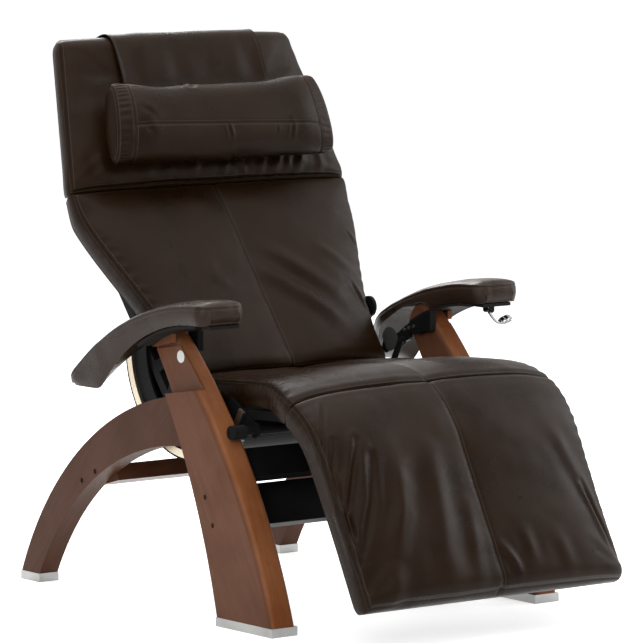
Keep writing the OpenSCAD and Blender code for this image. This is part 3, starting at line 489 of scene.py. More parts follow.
def makeWalnut(name, look, turn):
    # stained wood, its grain along Z after a turn round X by turn degrees, or along X where turn is None
    # faces turned along X get the darker side colours, and all other faces and the rounded edges get the brighter face
    # colours: painted shade and painted light by the way a face turns
    material, tree, shader = startFinish(name)
    coordinates = add(tree, "ShaderNodeTexCoord").outputs
    place = coordinates["Object"]
    spin = (math.radians(turn), 0, 0) if turn is not None else (0, math.radians(90), 0)
    mapping = add(tree, "ShaderNodeMapping", {"vector_type": "TEXTURE"}, Vector=place, Rotation=spin, Scale=(1, 1, 16))
    mapped = mapping.outputs[0]
    warp = noise(tree, place, 11.0, 4.0)
    bands = noise(tree, mapped, 95.0, 5.0, Roughness=0.6, Distortion=0.4)
    pores = noise(tree, mapped, 620.0, 2.0)
    shade = range01(tree, shares(tree, bands, 0.4, warp, 0.6), 0.32, 0.68)
    # painted light and shade: the colour mix below follows the way each face turns, not the stain
    across = add(tree, "ShaderNodeSeparateXYZ", Vector=coordinates["Normal"]).outputs[0]
    sideways = range01(tree, sums(tree, "ABSOLUTE", across), 0.45, 0.92)
    colour = mixColour(tree, sideways, mixColour(tree, shade, look["faceLitDark"], look["faceLitLight"]),
                       mixColour(tree, shade, look["sideShadeDark"], look["sideShadeLight"]))
    streak = range01(tree, pores, 0.60, 0.72)
    colour = mixColour(tree, sums(tree, "MULTIPLY", streak, 0.25), colour, look["pore"])
    roughness = range01(tree, bands, 0.3, 0.7, look["roughness"] + 0.06, look["roughness"] - 0.04)
    finishWith(tree, shader, colour, roughness, look["gloss"], 0.2, 0.0002, sums(tree, "SUBTRACT", bands, streak))
    return material


def makePlain(name, dark, light, roughness, metal, grain, bump, stretch, level):
    # a coated, moulded or brushed surface: slight clouding, a fine texture and uneven gloss
    material, tree, shader = startFinish(name)
    place = add(tree, "ShaderNodeTexCoord").outputs["Object"]
    mapped = add(tree, "ShaderNodeMapping", Vector=place, Scale=stretch).outputs[0]
    cloudy, fine = noise(tree, place, 14.0, 4.0), noise(tree, mapped, grain, 2.0)
    shade = shares(tree, cloudy, 0.6, fine, 0.4)
    gloss = range01(tree, shade, 0.35, 0.65, roughness - 0.05, roughness + 0.06)
    finishWith(tree, shader, ramp(tree, shade, [(0.36, dark), (0.64, light)]), gloss, level, bump, 0.0002, fine)
    shader.inputs["Metallic"].default_value = metal
    return material


def both(*stems):
    return [stem + side for stem in stems for side in ("_left", "_right")]


leather = makeLeather("espressoLeather", leatherLook)
# the lighter leather of the arm pads is painted light
armLitLeather = makeLeather("armLitLeather", armLitLeatherLook)
frontWalnut = makeWalnut("frontLegWalnut", walnutLook, -31)
# the rear legs and the cross bar take the darker copy of the walnut: painted shade
rearShadedWalnut = makeWalnut("rearLegShadedWalnut", rearShadedLook, 40)
barShadedWalnut = makeWalnut("crossBarShadedWalnut", rearShadedLook, None)
even, alongX, alongZ, board = (1, 1, 1), (30, 1, 1), (1, 1, 30), (2, 30, 30)  # how the fine texture is stretched
plainLooks = {  # dark, light, roughness, metal, grain, bump, stretch, level of reflection
    "satinFootMetal": ((0.29, 0.29, 0.285), (0.42, 0.42, 0.41), 0.33, 1.0, 1400.0, 0.2, alongZ, 0.5),
    "badgeMetal": ((0.46, 0.46, 0.455), (0.56, 0.56, 0.555), 0.34, 1.0, 1500.0, 0.1, even, 0.5),
    "blackSteelCoat": ((0.006, 0.006, 0.0065), (0.012, 0.012, 0.013), 0.36, 0.0, 1500.0, 0.25, even, 0.05),
    "brushedSteel": ((0.40, 0.40, 0.41), (0.58, 0.58, 0.58), 0.32, 1.0, 1800.0, 0.25, alongX, 0.5),
    "champagneStrip": ((0.55, 0.47, 0.36), (0.70, 0.62, 0.49), 0.30, 1.0, 1600.0, 0.12, even, 0.5),
    "blackRubber": ((0.007, 0.007, 0.007), (0.014, 0.014, 0.014), 0.66, 0.0, 700.0, 0.4, even, 0.05),
    "glossShell": ((0.004, 0.004, 0.0045), (0.007, 0.007, 0.008), 0.22, 0.0, 300.0, 0.03, even, 0.02),
    "blackPlastic": ((0.008, 0.008, 0.0085), (0.016, 0.016, 0.017), 0.50, 0.0, 1100.0, 0.35, even, 0.06),
    "blackStainedBoard": ((0.010, 0.009, 0.0085), (0.024, 0.021, 0.019), 0.60, 0.0, 500.0, 0.3, board, 0.05),
    "greyCover": ((0.035, 0.035, 0.034), (0.055, 0.055, 0.053), 0.45, 0.0, 1200.0, 0.15, even, 0.15),
    "polishedChrome": ((0.30, 0.305, 0.31), (0.46, 0.465, 0.47), 0.20, 1.0, 600.0, 0.05, even, 0.5),
}
plain = {name: makePlain(name, *look) for name, look in plainLooks.items()}
painted = [
    (frontWalnut, ["post_panels", *both("front_leg", "arm_block")]),
    (rearShadedWalnut, both("rear_leg")),
    (barShadedWalnut, ["rear_cross_bar"]),
    (plain["satinFootMetal"], ["front_foot_caps", "rear_foot_caps"]),
    (plain["badgeMetal"], ["badge_discs"]),
    (plain["blackSteelCoat"], ["lower_cross_channel", "upper_cross_channel", "brake_caliper", "leg_bolts", "stop_bar",
                               "back_frame", "legrest_frame", "seat_frame",
                               *both("side_plate", "arm_bracket", "arm_link")]),
    (plain["brushedSteel"], ["front_rollers", "rear_rollers", "roller_axles", "brake_strip", "massage_motors",
                             "arm_pivot_pins", *both("bracket_bolts")]),
    (plain["champagneStrip"], both("curved_rail")),
    (plain["blackRubber"], ["rail_treads", "stop_caps"]),
    (plain["glossShell"], ["rear_shell"]),
    (plain["blackPlastic"], ["back_cover", "lever_mount"]),
    (plain["blackStainedBoard"], ["back_board", "seat_pan", "legrest_board", *both("arm_board")]),
    (plain["greyCover"], both("link_cover")),
    (plain["polishedChrome"], ["recline_lever"]),
]
for material, members in painted:
    for member in members:
        mesh = nodes[member].data
        mesh.materials.clear()
        mesh.materials.append(material)
print("massage chair: finishes made")


def upholster(obj, body, node, finish=leather):
    # the leather piece rides on its body and stands for its node
    obj.data.materials.append(finish)
    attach(obj, body)
    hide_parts(node)


# runs is 1 where s goes down and -1 where it goes up; folds are (points (across, along), width, lift, kind)
seatCushion = {
    "line": onSeat, "runs": 1, "from": 0.0, "to": seatEnd, "widest": 0.332,
    "half": (0.275, 0.332, 0.190, seatEnd), "edge": 0.048, "crown": (0.005, 0.0325, 0.10, seatEnd), "valley": 0.005,
    "drawStart": 1.0, "drawEnd": 0.06, "midSeam": True, "pressure": 2.5, "cap": 0.022,
    "puckers": (0.0022, 0.021, 0.020, 11), "gathered": (0.0, 1.0, 0.22, 0.30), "folds": [],
}
seat = makeCushion("seatCushion", seatCushion)
upholster(seat, "recline_unit", "seat_cushion")
print("massage chair: seat made")


def legHalf(s):
    # a straight taper with slightly hollow sides
    share = (s - seatEnd) / (legEnd - seatEnd)
    return mixed(0.332, 0.325, share) - 0.004 * np.sin(np.pi * share)


seamGap = 0.0008  # left between neighbouring cushions, on each side of the crease behind the head
legRest = {
    "line": onSeat, "runs": 1, "from": seatEnd + seamGap, "to": legEnd, "widest": 0.332,
    "half": legHalf, "edge": 0.048, "crown": 0.0325, "valley": 0.004,
    "drawStart": 0.06, "drawEnd": 0.9, "midSeam": True, "pressure": 4.0, "cap": 0.022,
    "puckers": (0.0013, 0.024, 0.018, 21), "gathered": (1.0, 0.4, 0.52, 0.62),
    "folds": [
        ([(-0.281, 0.455), (-0.309, 0.507), (-0.328, 0.561)], 0.007, 0.0035, "crease"),
        ([(-0.297, 0.532), (-0.316, 0.588), (-0.318, 0.649), (-0.314, 0.712), (-0.312, 0.760)],
         0.009, 0.0050, "crease"),
        ([(-0.251, 0.540), (-0.284, 0.617), (-0.312, 0.683), (-0.319, 0.743)], 0.012, 0.0066, "crease"),
        ([(-0.231, 0.573), (-0.256, 0.663), (-0.294, 0.739), (-0.315, 0.775)], 0.016, 0.0076, "crease"),
        ([(-0.175, 0.601), (-0.198, 0.692), (-0.239, 0.769)], 0.019, 0.0078, "ridge"),
        ([(-0.245, 0.790), (-0.275, 0.872)], 0.020, 0.0055, "ridge"),
        ([(-0.084, 0.578), (-0.102, 0.682), (-0.124, 0.773), (-0.128, 0.835)], 0.021, 0.0055, "ridge"),
        ([(-0.030, 0.700), (-0.048, 0.780), (-0.060, 0.850)], 0.015, 0.0030, "ridge"),
        ([(0.018, 0.784), (0.034, 0.818), (0.042, 0.850)], 0.009, 0.0032, "ridge"),
        ([(0.081, 0.763), (0.083, 0.826)], 0.012, 0.0026, "ridge"),
        ([(0.160, 0.780), (0.172, 0.850)], 0.015, 0.0022, "ridge"),
        ([(0.235, 0.560), (0.262, 0.640), (0.285, 0.700)], 0.017, 0.0032, "ridge"),
        ([(0.271, 0.669), (0.282, 0.712), (0.293, 0.755), (0.307, 0.808)], 0.011, 0.0054, "crease"),
    ],
}
rest = makeCushion("legRestCushion", legRest)
upholster(rest, "recline_unit", "legrest_cushion")
print("massage chair: leg rest made")

lowBack = {
    "line": onBack, "runs": -1, "from": 0.0, "to": backLine["low"] - seamGap, "widest": 0.351,
    "half": (0.259, 0.351, 0.060, 0.456), "edge": (0.048, 0.040, 0.396, 0.456),
    "crown": (0.030, 0.008, 0.396, 0.456), "valley": (0.009, 0.003, 0.396, 0.456),
    "drawStart": 1.0, "drawEnd": 0.15, "midSeam": True, "pressure": 4.0, "cap": 0.022,
    "puckers": (0.0010, 0.026, 0.016, 31), "gathered": (1.0, 0.3, 0.30, 0.40),
    "folds": [
        ([(0.020, 0.242), (0.062, 0.191), (0.122, 0.133), (0.158, 0.090)], 0.018, 0.0050, "ridge"),
        ([(0.048, 0.287), (0.095, 0.242), (0.146, 0.194), (0.178, 0.168)], 0.018, 0.0045, "ridge"),
        ([(0.180, 0.275), (0.216, 0.247), (0.254, 0.214)], 0.013, 0.0032, "ridge"),
        ([(0.233, 0.186), (0.243, 0.153), (0.249, 0.122)], 0.008, 0.0035, "crease"),
        ([(0.286, 0.314), (0.303, 0.283)], 0.008, 0.0028, "crease"),
        ([(-0.117, 0.257), (-0.109, 0.224), (-0.075, 0.197)], 0.017, 0.0026, "ridge"),
    ],
}
back = makeCushion("lowerBackCushion", lowBack)
upholster(back, "recline_unit", "lower_back_cushion")

headRest = {
    "line": onBack, "runs": -1, "from": backLine["low"] + seamGap, "to": backLine["low"] + backLine["head"],
    "widest": 0.354, "half": lambda s: mixed(0.354, 0.294, (s - backLine["low"]) / backLine["head"]),
    "edge": (0.038, 0.034, 0.456, 0.516), "crown": 0.0296, "valley": 0.0,
    "drawStart": 0.45, "drawEnd": 1.0, "midSeam": False, "pressure": 4.0, "cap": 0.0015,
    "puckers": (0.0006, 0.030, 0.014, 41), "gathered": 0.7,
    "folds": [
        ([(-0.278, 0.530), (-0.272, 0.492), (-0.258, 0.464)], 0.015, 0.0030, "ridge"),
        ([(-0.160, 0.515), (-0.169, 0.488), (-0.183, 0.462)], 0.014, 0.0026, "ridge"),
        ([(-0.112, 0.500), (-0.118, 0.476)], 0.010, 0.0016, "ridge"),
        ([(-0.044, 0.520), (-0.050, 0.492), (-0.063, 0.466)], 0.010, 0.0036, "ridge"),
        ([(0.030, 0.505), (0.024, 0.482), (0.014, 0.464)], 0.008, 0.0030, "ridge"),
        ([(0.060, 0.515), (0.065, 0.488), (0.073, 0.464)], 0.008, 0.0046, "ridge"),
        ([(0.128, 0.510), (0.122, 0.487), (0.113, 0.467)], 0.008, 0.0046, "ridge"),
        ([(0.172, 0.510), (0.162, 0.484), (0.146, 0.463)], 0.009, 0.0052, "ridge"),
        ([(0.194, 0.496), (0.188, 0.470)], 0.007, 0.0022, "ridge"),
        ([(0.236, 0.515), (0.227, 0.488), (0.209, 0.464)], 0.010, 0.0042, "ridge"),
        ([(0.284, 0.515), (0.283, 0.490), (0.277, 0.466)], 0.010, 0.0034, "ridge"),
    ],
}
head = makeCushion("headCushion", headRest)
upholster(head, "recline_unit", "head_cushion")
print("massage chair: back and head made")

headSlope = math.radians(backLine["headSlope"])
upHead, outHead = -wayDown(headSlope), wayOut(headSlope)
creaseAt = np.array(backLine["start"]) - backLine["low"] * wayDown(math.radians(backLine["slope"]))


def onHead(x, up, out):
    # points across the head section, up from its crease and out from its plane
    y, z = creaseAt[:, None] + upHead[:, None] * up + outHead[:, None] * out
    return np.stack([x, y, z], 1)


# along and clear are from the crease and the head section's plane; the seam's places are from the pillow's middle
pillowRoll = {"length": 0.541, "tall": 0.172, "thick": 0.083, "endThick": 0.050, "along": 0.117, "clear": 0.034,
              "band": 0.037, "pleats": 36, "pleat": 0.0010, "middleDip": 0.012, "belly": 0.005, "lean": (0.20, 0.03),
              "seamAt": -0.0225, "seamFall": -0.035, "around": 96, "capRings": 9, "capDepth": 0.006,
              "endRound": 0.020, "endShrink": 0.045, "pressure": 3.0, "cap": 0.005}
pillowFolds = [
    ([(-0.010, -0.026), (-0.006, -0.054)], 0.0055, 0.0024, "crease"),
    ([(0.158, -0.030), (0.150, -0.062)], 0.006, 0.0020, "crease"),
    ([(0.118, -0.034), (0.112, -0.050)], 0.005, 0.0012, "crease"),
    ([(-0.084, 0.076), (-0.066, 0.066), (-0.050, 0.070)], 0.008, 0.0026, "crease"),
    ([(-0.215, -0.010), (-0.195, -0.034)], 0.012, 0.0016, "crease"),
    ([(-0.212, 0.022), (-0.190, 0.004)], 0.011, 0.0014, "crease"),
]


def makePillow(spec):
    # rings of points round X, gathered bands at both ends and shallow oval end pieces
    around, capRings, band = spec["around"], spec["capRings"], spec["band"]
    half = spec["length"] / 2
    stations = cuts(spec["length"], 0.0075, close=(0.002, 0.005, 0.009, 0.014, 0.020, 0.027, band)) - half
    caps = [(half + spec["capDepth"] * (1 - (r / capRings) ** 2), r / capRings) for r in range(capRings)]
    rows = [(-x, share) for x, share in caps] + [(x, 1.0) for x in stations] + caps[::-1]
    points, faces, kept, starts = [], [], [], []
    for x, share in rows:
        starts.append(len(points))
        gap = half - abs(x) if share == 1 else 0.0
        rounding = math.sqrt(max(0, 1 - max(0, 1 - gap / spec["endRound"]) ** 2))
        size = share * (1 - spec["endShrink"] + spec["endShrink"] * rounding)
        deep = mixed(spec["endThick"], spec["thick"], float(easeIn(gap / 0.085)) ** 0.7)
        dip = spec["middleDip"] * (1 - float(easeIn((abs(x + 0.01) - 0.12) / 0.12)))
        sag = spec["belly"] * math.exp(-((x + 0.07) / 0.10) ** 2)
        lean = (spec["lean"][0] if x < 0 else -spec["lean"][1]) * float(easeIn(1 - gap / 0.16))
        for j in range(around if share else 1):
            t = 2 * math.pi * j / around
            cosT, sinT = math.cos(t), math.sin(t)
            tall = spec["tall"] / 2 * size * math.copysign(abs(cosT) ** 0.90, cosT)
            thick = deep / 2 * size * math.copysign(abs(sinT) ** 0.84, sinT)
            tall -= (dip * max(0, cosT) ** 2 + sag * max(0, -cosT) ** 2) * share
            points.append((x + lean * tall, tall, thick))
            kept.append((x, t, gap if share == 1 else -(1 - share) * 0.05))
    for i in range(len(rows) - 1):
        p, q = starts[i], starts[i + 1]
        for j in range(around):
            k = (j + 1) % around
            if rows[i][1] == 0:
                faces.append([p, q + k, q + j])
            elif rows[i + 1][1] == 0:
                faces.append([p + j, p + k, q])
            else:
                faces.append([p + j, p + k, q + k, q + j])
    (x, up, out), (x0, turn, gap) = np.array(points).T, np.array(kept).T
    obj = makeObject("headPillow", onHead(x, spec["along"] + up, spec["clear"] + spec["thick"] / 2 + out), faces)
    faceOutwards(obj)
    endSeam = np.abs(np.where(gap > band / 2, gap - band, gap))
    longSeam = np.where((out > 0) & (gap > band - 1e-4), up - spec["seamAt"] - spec["seamFall"] * x, seamSpan)
    setFloats(obj, edgeSeam=np.clip(endSeam, 0, seamSpan), midSeam=np.clip(longSeam, -seamSpan, seamSpan),
              seamRun=np.where(gap > band + 0.006, x, turn * 0.07), acrossAt=x0, alongAt=up, bandGap=gap,
              ringTurn=turn, frontShare=(out > 0).astype(float))
    held = np.where(out < -0.3 * spec["thick"], 1.0, np.where(endSeam < 0.001, 0.9, 0.0))
    inflate(obj, held, spec["pressure"], spec["cap"])
    subdivide(obj)
    u, v, gap, t, front = getFloats(obj, "acrossAt", "alongAt", "bandGap", "ringTurn", "frontShare")
    front = easeIn(front * 2 - 0.5)
    uneven = 0.65 + 0.5 * softNoise(t * 0.1, u, 0.06, 52)
    pleat = np.exp(-((gap - 0.017) / 0.012) ** 2) * np.sin(spec["pleats"] * t + 1.8 * np.sin(3 * t + u * 9))
    press = np.exp(-(gap / 0.003) ** 2) + 0.9 * np.exp(-((gap - band) / 0.003) ** 2)
    fromSeam = v - spec["seamAt"] - spec["seamFall"] * u
    press += 0.8 * np.exp(-(fromSeam / 0.004) ** 2) * front * (gap > band)
    lift = spec["pleat"] * pleat * (gap > 0) * uneven - 0.0016 * press + 0.0014 * softNoise(u, v, 0.07, 51)
    for fold in pillowFolds:
        lift += foldHeight(u, v, *fold) * front
    raiseSurface(obj, lift)
    return obj


upholster(makePillow(pillowRoll), "pillow", "head_pillow")

# the strap's line is (up from the crease, out from the head section's plane), over the top and down behind
strap = {"width": 0.372, "thick": 0.0024, "spacing": 0.005, "hem": 0.0020, "hemWidth": 0.006, "ripple": 0.0034,
         "line": [(0.050, 0.0322), (0.180, 0.0322), (0.300, 0.0322), (0.322, 0.0275), (0.3345, 0.0150),
                  (0.3385, -0.004), (0.3385, -0.040), (0.3360, -0.060), (0.327, -0.0700), (0.300, -0.0706),
                  (0.150, -0.0706)]}


def smoothLine(line, spacing):
    # even steps along the line, with its corners rounded off
    line = np.array(line)
    gone = np.concatenate([[0], np.cumsum(np.linalg.norm(np.diff(line, axis=0), axis=1))])
    t = np.linspace(0, gone[-1], int(gone[-1] / spacing))
    fine = np.stack([np.interp(t, gone, line[:, 0]), np.interp(t, gone, line[:, 1])], 1)
    for _ in range(6):
        fine[1:-1] = (fine[:-2] + 2 * fine[1:-1] + fine[2:]) / 4
    return t, fine


def makeStrap(spec):
    t, line = smoothLine(spec["line"], spec["spacing"])
    way = np.gradient(line, axis=0)
    way /= np.linalg.norm(way, axis=1)[:, None]
    across = cuts(spec["width"], 0.006, close=(0.0015, 0.004, 0.008)) - spec["width"] / 2
    unit, faces = boxShell(across, np.arange(len(t)), np.array([0.0, 1.0]))
    x, j, c = unit[:, 0], unit[:, 1].astype(int), unit[:, 2]
    at, out, run = line[j], np.stack([-way[:, 1], way[:, 0]], 1)[j], t[j]
    fromEdge = spec["width"] / 2 - np.abs(x)
    middle = easeIn((at[:, 0] - 0.205) / 0.035) * np.exp(-((run - 0.21) / 0.09) ** 2)  # flat where the pillow slides
    ripple = np.maximum((spec["ripple"] * softNoise(x, run * 0.25, 0.038, 61) + 0.0012) * middle, -0.0004)
    ripple += spec["hem"] * middle * np.exp(-(fromEdge / spec["hemWidth"]) ** 2)
    up, off = (at + out * ((c - 0.5) * spec["thick"] + ripple)[:, None]).T
    obj = makeObject("pillowStrap", onHead(x, up, off), faces)
    faceOutwards(obj)
    hem = np.clip(fromEdge - spec["hemWidth"], -seamSpan, seamSpan) + leatherLook["stitchRow"]
    setFloats(obj, edgeSeam=hem, midSeam=np.full(len(x), seamSpan), seamRun=run)
    return obj, t[-1]


flap, flapLength = makeStrap(strap)
upholster(flap, "recline_unit", "pillow_flap")

weightPad = {"width": 0.328, "tall": 0.088, "thick": 0.0165, "along": 0.210, "out": -0.0819, "spacing": 0.008}


def makeWeight(spec):
    # a flat stuffed pad on the strap's rear end
    width, tall, spacing = spec["width"], spec["tall"], spec["spacing"]
    across, along = cuts(width, spacing) / width * 2 - 1, cuts(tall, spacing) / tall * 2 - 1
    unit, faces = boxShell(across, along, np.linspace(-1, 1, 5))
    a, b, c = unit.T
    puff = ((1 - np.abs(a) ** 6) * (1 - np.abs(b) ** 4)) ** 0.5
    x, s = a * width / 2, spec["along"] + b * tall / 2
    h = spec["out"] + c * spec["thick"] / 2 * (0.55 + 0.45 * puff)
    obj = makeObject("strapWeight", onHead(x, s, h), faces)
    faceOutwards(obj)
    edge = np.minimum((1 - np.abs(a)) * width / 2, (1 - np.abs(b)) * tall / 2)
    setFloats(obj, edgeSeam=edge, midSeam=np.full(len(a), seamSpan), seamRun=x + s)
    subdivide(obj)
    return obj


upholster(makeWeight(weightPad), "counterweight", "pillow_counterweight")
print("massage chair: pillow, strap and weight made")

# the rim is one arc; the underside is level in front and bends down behind; the inner side thins to the rear
# taper is (narrowing, from, over) and thin is (share of the depth, slope, lead), measured to the rear from datum
# notch is (low x, high x, radius)
armPad = {"rimCentre": (-0.1403, -0.031), "rimRadius": 0.666, "rearTurn": 43.6, "frontTurn": -0.516,
          "bendCentre": (-0.1093, 0.206), "bendRadius": 0.391, "level": 0.597, "heel": 0.441, "heelRound": 0.006,
          "width": 0.110, "middle": 0.351, "crown": 0.010, "tip": 0.028, "datum": 0.1047,
          "taper": (0.056, 0.070, 0.130), "thin": (0.72, 0.4, 0.078), "pivot": (0.0467, 0.535),
          "notch": (0.285, 0.3484, 0.0495), "spacing": 0.006, "belly": 0.0025, "tuck": 0.003, "pressure": 3.0,
          "cap": 0.0035}


def tipIn(gap, radius):
    # how far a rounded end stands back at a distance of gap from it
    d = np.minimum(np.maximum(gap, 0.0012), radius)
    return np.where(gap < radius, radius - np.sqrt(np.maximum(radius ** 2 - (radius - d) ** 2, 0)), 0)


def makeArmPad(name, node, body, sideSign, spec):
    rear, front = math.radians(spec["rearTurn"]), math.radians(spec["frontTurn"])
    length, width = spec["rimRadius"] * (rear - front), spec["width"]
    low, high, notchRadius = spec["notch"]
    walls = [low - 0.0005, low + 0.0005, high - 0.0005, high + 0.0005]
    marks = tuple(w - spec["middle"] + width / 2 for w in walls if abs(w - spec["middle"]) < width / 2)
    across = cuts(width, spec["spacing"], close=(0.002, 0.005, 0.009), middle=marks) / width * 2 - 1
    along = cuts(length, spec["spacing"], close=(0.0012, 0.003, 0.006, 0.010, 0.015, 0.021)) / length
    unit, faces = boxShell(across, along, np.linspace(0, 1, 7))
    a, b, c = unit.T
    s = b * length
    turn = -(rear + (front - rear) * b)
    rim = np.array(spec["rimCentre"])[:, None] + spec["rimRadius"] * wayOut(turn)
    fromBend = rim - np.array(spec["bendCentre"])[:, None]
    reach = (fromBend * wayOut(turn)).sum(0)
    rounded = reach - np.sqrt(np.maximum(0, reach ** 2 - (fromBend ** 2).sum(0) + spec["bendRadius"] ** 2))
    deep = np.where(rim[0] < spec["bendCentre"][0], (rim[1] - spec["level"]) / np.cos(turn), rounded)
    heel, heelRound = (rim[1] - spec["heel"]) / np.cos(turn), spec["heelRound"]
    deep = np.minimum(deep, heel) - heelRound * np.log1p(np.exp(-np.abs(deep - heel) / heelRound))
    behind = rim[0] - spec["datum"]
    most, start, over = spec["taper"]
    taper = most * easeIn((behind - start) / over)
    share, rise, start = spec["thin"]
    lift = np.minimum(share * deep, rise * np.maximum(0, behind + start))
    half = width / 2 - tipIn(length - s, spec["tip"]) - 0.5 * tipIn(s, spec["tip"]) - taper / 2
    draw = 0.7 * curl(s, 0.02) + 1.0 * curl(length - s, 0.016)
    top = spec["crown"] * (1 - 0.5 * draw) * (1 - np.abs(a) ** 2.6) ** 0.55 - 0.010 * draw
    bottom = lift * (1 - a) / 2 - deep + 0.004 * curl(s, 0.02) + 0.6 * tipIn(length - s, 0.012)
    h = bottom + (top - bottom) * c
    edge, atEnd = np.abs(a) > 0.9999, (b < 1e-6) | (b > 1 - 1e-6)
    bulge = spec["belly"] * 4 * c * (1 - c) - spec["tuck"] * (1 - c) ** 3
    x = spec["middle"] + taper / 2 + a * half + np.where(edge, np.sign(a) * bulge, 0)
    push = np.where(atEnd, np.where(b < 0.5, 1, -1) * bulge, 0)
    way, out = wayDown(turn), wayOut(turn)
    y, z = rim[0] - push * way[0] + h * out[0], rim[1] - push * way[1] + h * out[1]
    py, pz = y - spec["pivot"][0], z - spec["pivot"][1]
    inside = (x > low) & (x < high) & (np.hypot(py, pz) < notchRadius) & (c < 0.999)  # room for the post's head
    z = np.where(inside, spec["pivot"][1] + np.sqrt(np.maximum(0, notchRadius ** 2 - py ** 2)), z)
    obj = makeObject(name, np.stack([sideSign * x, y, z], 1), faces)
    faceOutwards(obj)
    rimGap = np.hypot(y - spec["rimCentre"][0], z - spec["rimCentre"][1]) - spec["rimRadius"]
    setFloats(obj, edgeSeam=np.clip(rimGap + 0.002, -seamSpan, seamSpan), midSeam=np.full(len(x), seamSpan),
              seamRun=s + x, acrossAt=x, alongAt=s, topShare=c)
    held = np.where(c < 0.9, 1.0, np.where((c > 0.999) & (edge | atEnd), 0.9, 0.0))
    inflate(obj, held, spec["pressure"], spec["cap"])
    subdivide(obj)
    u, v, c, gap = getFloats(obj, "acrossAt", "alongAt", "topShare", "edgeSeam")
    wave = 0.0007 * softNoise(u * 2, v, 0.03, 71) * easeIn(c / 0.5)
    raiseSurface(obj, wave - 0.0012 * np.exp(-(gap / 0.0025) ** 2) * (c < 0.9999))
    upholster(obj, body, node, armLitLeather)


makeArmPad("armPadLeft", "arm_pad_left", "arm_left", 1, armPad)
makeArmPad("armPadRight", "arm_pad_right", "arm_right", -1, armPad)
print("massage chair: arm pads made")

# a round rod that flattens into a ribbed paddle: path is (across, up), with half widths, half depths and turn beside it
leverRod = {"y": -0.1253, "sides": 20, "stations": 70, "smoothing": 12, "tilt": 36.0, "ribs": 3, "rib": 0.0007,
            "ribsFrom": 0.6, "tip": 5.0,
            "path": [(0.338, 0.5835), (0.3405, 0.5755), (0.349, 0.5655), (0.357, 0.5580), (0.364, 0.5540),
                     (0.371, 0.5552), (0.380, 0.5585), (0.390, 0.5622), (0.3975, 0.5650)],
            "wide": [0.0055, 0.0034, 0.0030, 0.0030, 0.0042, 0.0085, 0.0105, 0.0105, 0.0080],
            "deep": [0.0050, 0.0030, 0.0028, 0.0028, 0.0028, 0.0030, 0.0032, 0.0031, 0.0022],
            "turned": [0, 0, 0, 0.2, 0.7, 1, 1, 1, 1]}


def makeLever(spec):
    count, sides, ribsFrom = spec["stations"], spec["sides"], spec["ribsFrom"]
    known = np.arange(len(spec["path"]))
    t = np.linspace(0, known[-1], count)
    x, z = (np.interp(t, known, np.array(spec["path"])[:, i]) for i in (0, 1))
    wide, deep, turned = (np.interp(t, known, spec[k]) for k in ("wide", "deep", "turned"))
    for row in (x, z, wide, deep, turned):
        for _ in range(spec["smoothing"]):
            row[1:-1] = (row[:-2] + 2 * row[1:-1] + row[2:]) / 4
    way = np.stack([np.gradient(x), np.gradient(z)], 1)
    way /= np.linalg.norm(way, axis=1)[:, None]
    alongPaddle = (t - t[-1] * ribsFrom) / (t[-1] * (1 - ribsFrom))
    deep += spec["rib"] * np.cos(2 * np.pi * spec["ribs"] * alongPaddle) * easeIn((turned - 0.8) / 0.2)
    toTip = np.clip(1 - (count - 1 - np.arange(count)) / spec["tip"], 0, 1)
    tipRound = np.sqrt(np.clip(1 - toTip ** 2, 0.02, 1))
    points, faces = [(x[0], spec["y"], z[0])], []
    for i in range(count):
        roll = math.radians(spec["tilt"]) * turned[i]
        for j in range(sides):
            a = 2 * math.pi * j / sides
            p, q = wide[i] * tipRound[i] * math.cos(a), deep[i] * tipRound[i] * math.sin(a)
            sideways, up = p * math.cos(roll) - q * math.sin(roll), p * math.sin(roll) + q * math.cos(roll)
            points.append((x[i] - way[i, 1] * up, spec["y"] + sideways, z[i] + way[i, 0] * up))
    points.append((x[-1], spec["y"], z[-1]))
    for i in range(count - 1):
        p, q = 1 + i * sides, 1 + (i + 1) * sides
        for j in range(sides):
            k = (j + 1) % sides
            faces.append([p + j, p + k, q + k, q + j])
    last = 1 + (count - 1) * sides
    for j in range(sides):
        k = (j + 1) % sides
        faces += [[0, 1 + k, 1 + j], [last + j, last + k, len(points) - 1]]
    obj = makeObject("leverPaddle", points, faces)
    faceOutwards(obj)
    obj.data.materials.append(plain["polishedChrome"])
    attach(obj, "lever")
    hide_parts("recline_lever")


makeLever(leverRod)
print("massage chair: lever made")

# lamps are (name, place, aim, size, power)
studio = {"floorColour": (0.80, 0.80, 0.80), "floorSize": 120.0, "ambient": 0.42, "floorGlow": 0.68,
          "lamps": [("overheadSoft", (0.0, -0.5, 4.6), (0, 0, 0.5), 3.6, 120.0),
                    ("frontLeftSoft", (-4.2, -3.4, 2.6), (0, 0, 0.6), 2.6, 105.0),
                    ("rightSoft", (4.4, -1.0, 2.4), (0, 0, 0.7), 2.0, 60.0),
                    ("rearSoft", (0.9, 3.4, 3.2), (0, 0, 0.6), 2.6, 200.0)]}
chairCamera = {"eye": (-6.044, -7.8473, 1.649), "aim": (0.0546, 0.0709, 0.5602), "lens": 274.52, "sensor": 36.0,
               "near": 0.1, "far": 300}


def whereSeen(tree):
    # 1 for rays straight from the camera, in reflections and through glass
    rays = add(tree, "ShaderNodeLightPath").outputs
    seen = sums(tree, "MAXIMUM", rays["Is Camera Ray"], rays["Is Glossy Ray"])
    return sums(tree, "MAXIMUM", seen, rays["Is Transmission Ray"])


def placeAndAim(name, data, place, aim):
    holder = bpy.data.objects.new(name, data)
    holder.location = place
    holder.rotation_euler = (Vector(aim) - Vector(place)).to_track_quat("-Z", "Y").to_euler()
    scene.collection.objects.link(holder)
    return holder


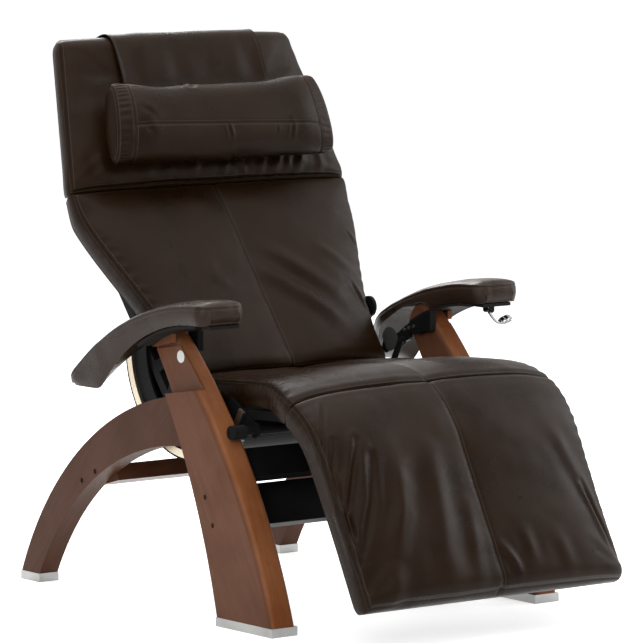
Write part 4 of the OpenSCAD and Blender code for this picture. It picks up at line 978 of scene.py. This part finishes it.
def makeStudio(spec):
    size, colour = spec["floorSize"] / 2, spec["floorColour"]
    corners = [(-size, -size, 0), (size, -size, 0), (size, size, 0), (-size, size, 0)]
    floor = makeObject("studioFloor", corners, [[0, 1, 2, 3]])
    material, tree, shader = startFinish("paleFloor")
    cloud = noise(tree, add(tree, "ShaderNodeTexCoord").outputs["Object"], 0.8, 2.0)
    clouded = ramp(tree, cloud, [(0.3, tuple(v - 0.01 for v in colour)), (0.7, colour)])
    tree.links.new(clouded, shader.inputs["Base Color"])
    shader.inputs["Roughness"].default_value = 0.9
    shader.inputs["Specular IOR Level"].default_value = 0.1
    strength = sums(tree, "MULTIPLY", whereSeen(tree), spec["floorGlow"])
    glow = add(tree, "ShaderNodeEmission", Color=(1, 1, 1, 1), Strength=strength).outputs[0]
    lit = add(tree, "ShaderNodeAddShader", n0=shader.outputs[0], n1=glow).outputs[0]
    tree.links.new(lit, tree.nodes["Material Output"].inputs["Surface"])
    floor.data.materials.append(material)
    world = bpy.data.worlds.new("studioWorld")
    world.use_nodes = True
    tree = world.node_tree
    dim = add(tree, "ShaderNodeBackground", Color=(1, 1, 1, 1), Strength=spec["ambient"]).outputs[0]
    white = add(tree, "ShaderNodeBackground", Color=(1, 1, 1, 1), Strength=1.0).outputs[0]
    mix = add(tree, "ShaderNodeMixShader", n0=whereSeen(tree), n1=dim, n2=white).outputs[0]
    tree.links.new(mix, tree.nodes["World Output"].inputs["Surface"])
    scene.world = world
    for name, place, aim, width, power in spec["lamps"]:
        lamp = bpy.data.lights.new(name, "AREA")
        lamp.shape, lamp.size, lamp.energy = "SQUARE", width, power
        placeAndAim(name, lamp, place, aim)


def makeCamera(spec):
    data = bpy.data.cameras.new("chairCamera")
    data.lens, data.sensor_width, data.sensor_fit = spec["lens"], spec["sensor"], "AUTO"
    data.clip_start, data.clip_end = spec["near"], spec["far"]
    scene.camera = placeAndAim("chairCamera", data, spec["eye"], spec["aim"])


makeStudio(studio)
makeCamera(chairCamera)
scene.view_settings.view_transform = "Standard"
print("massage chair: studio made")
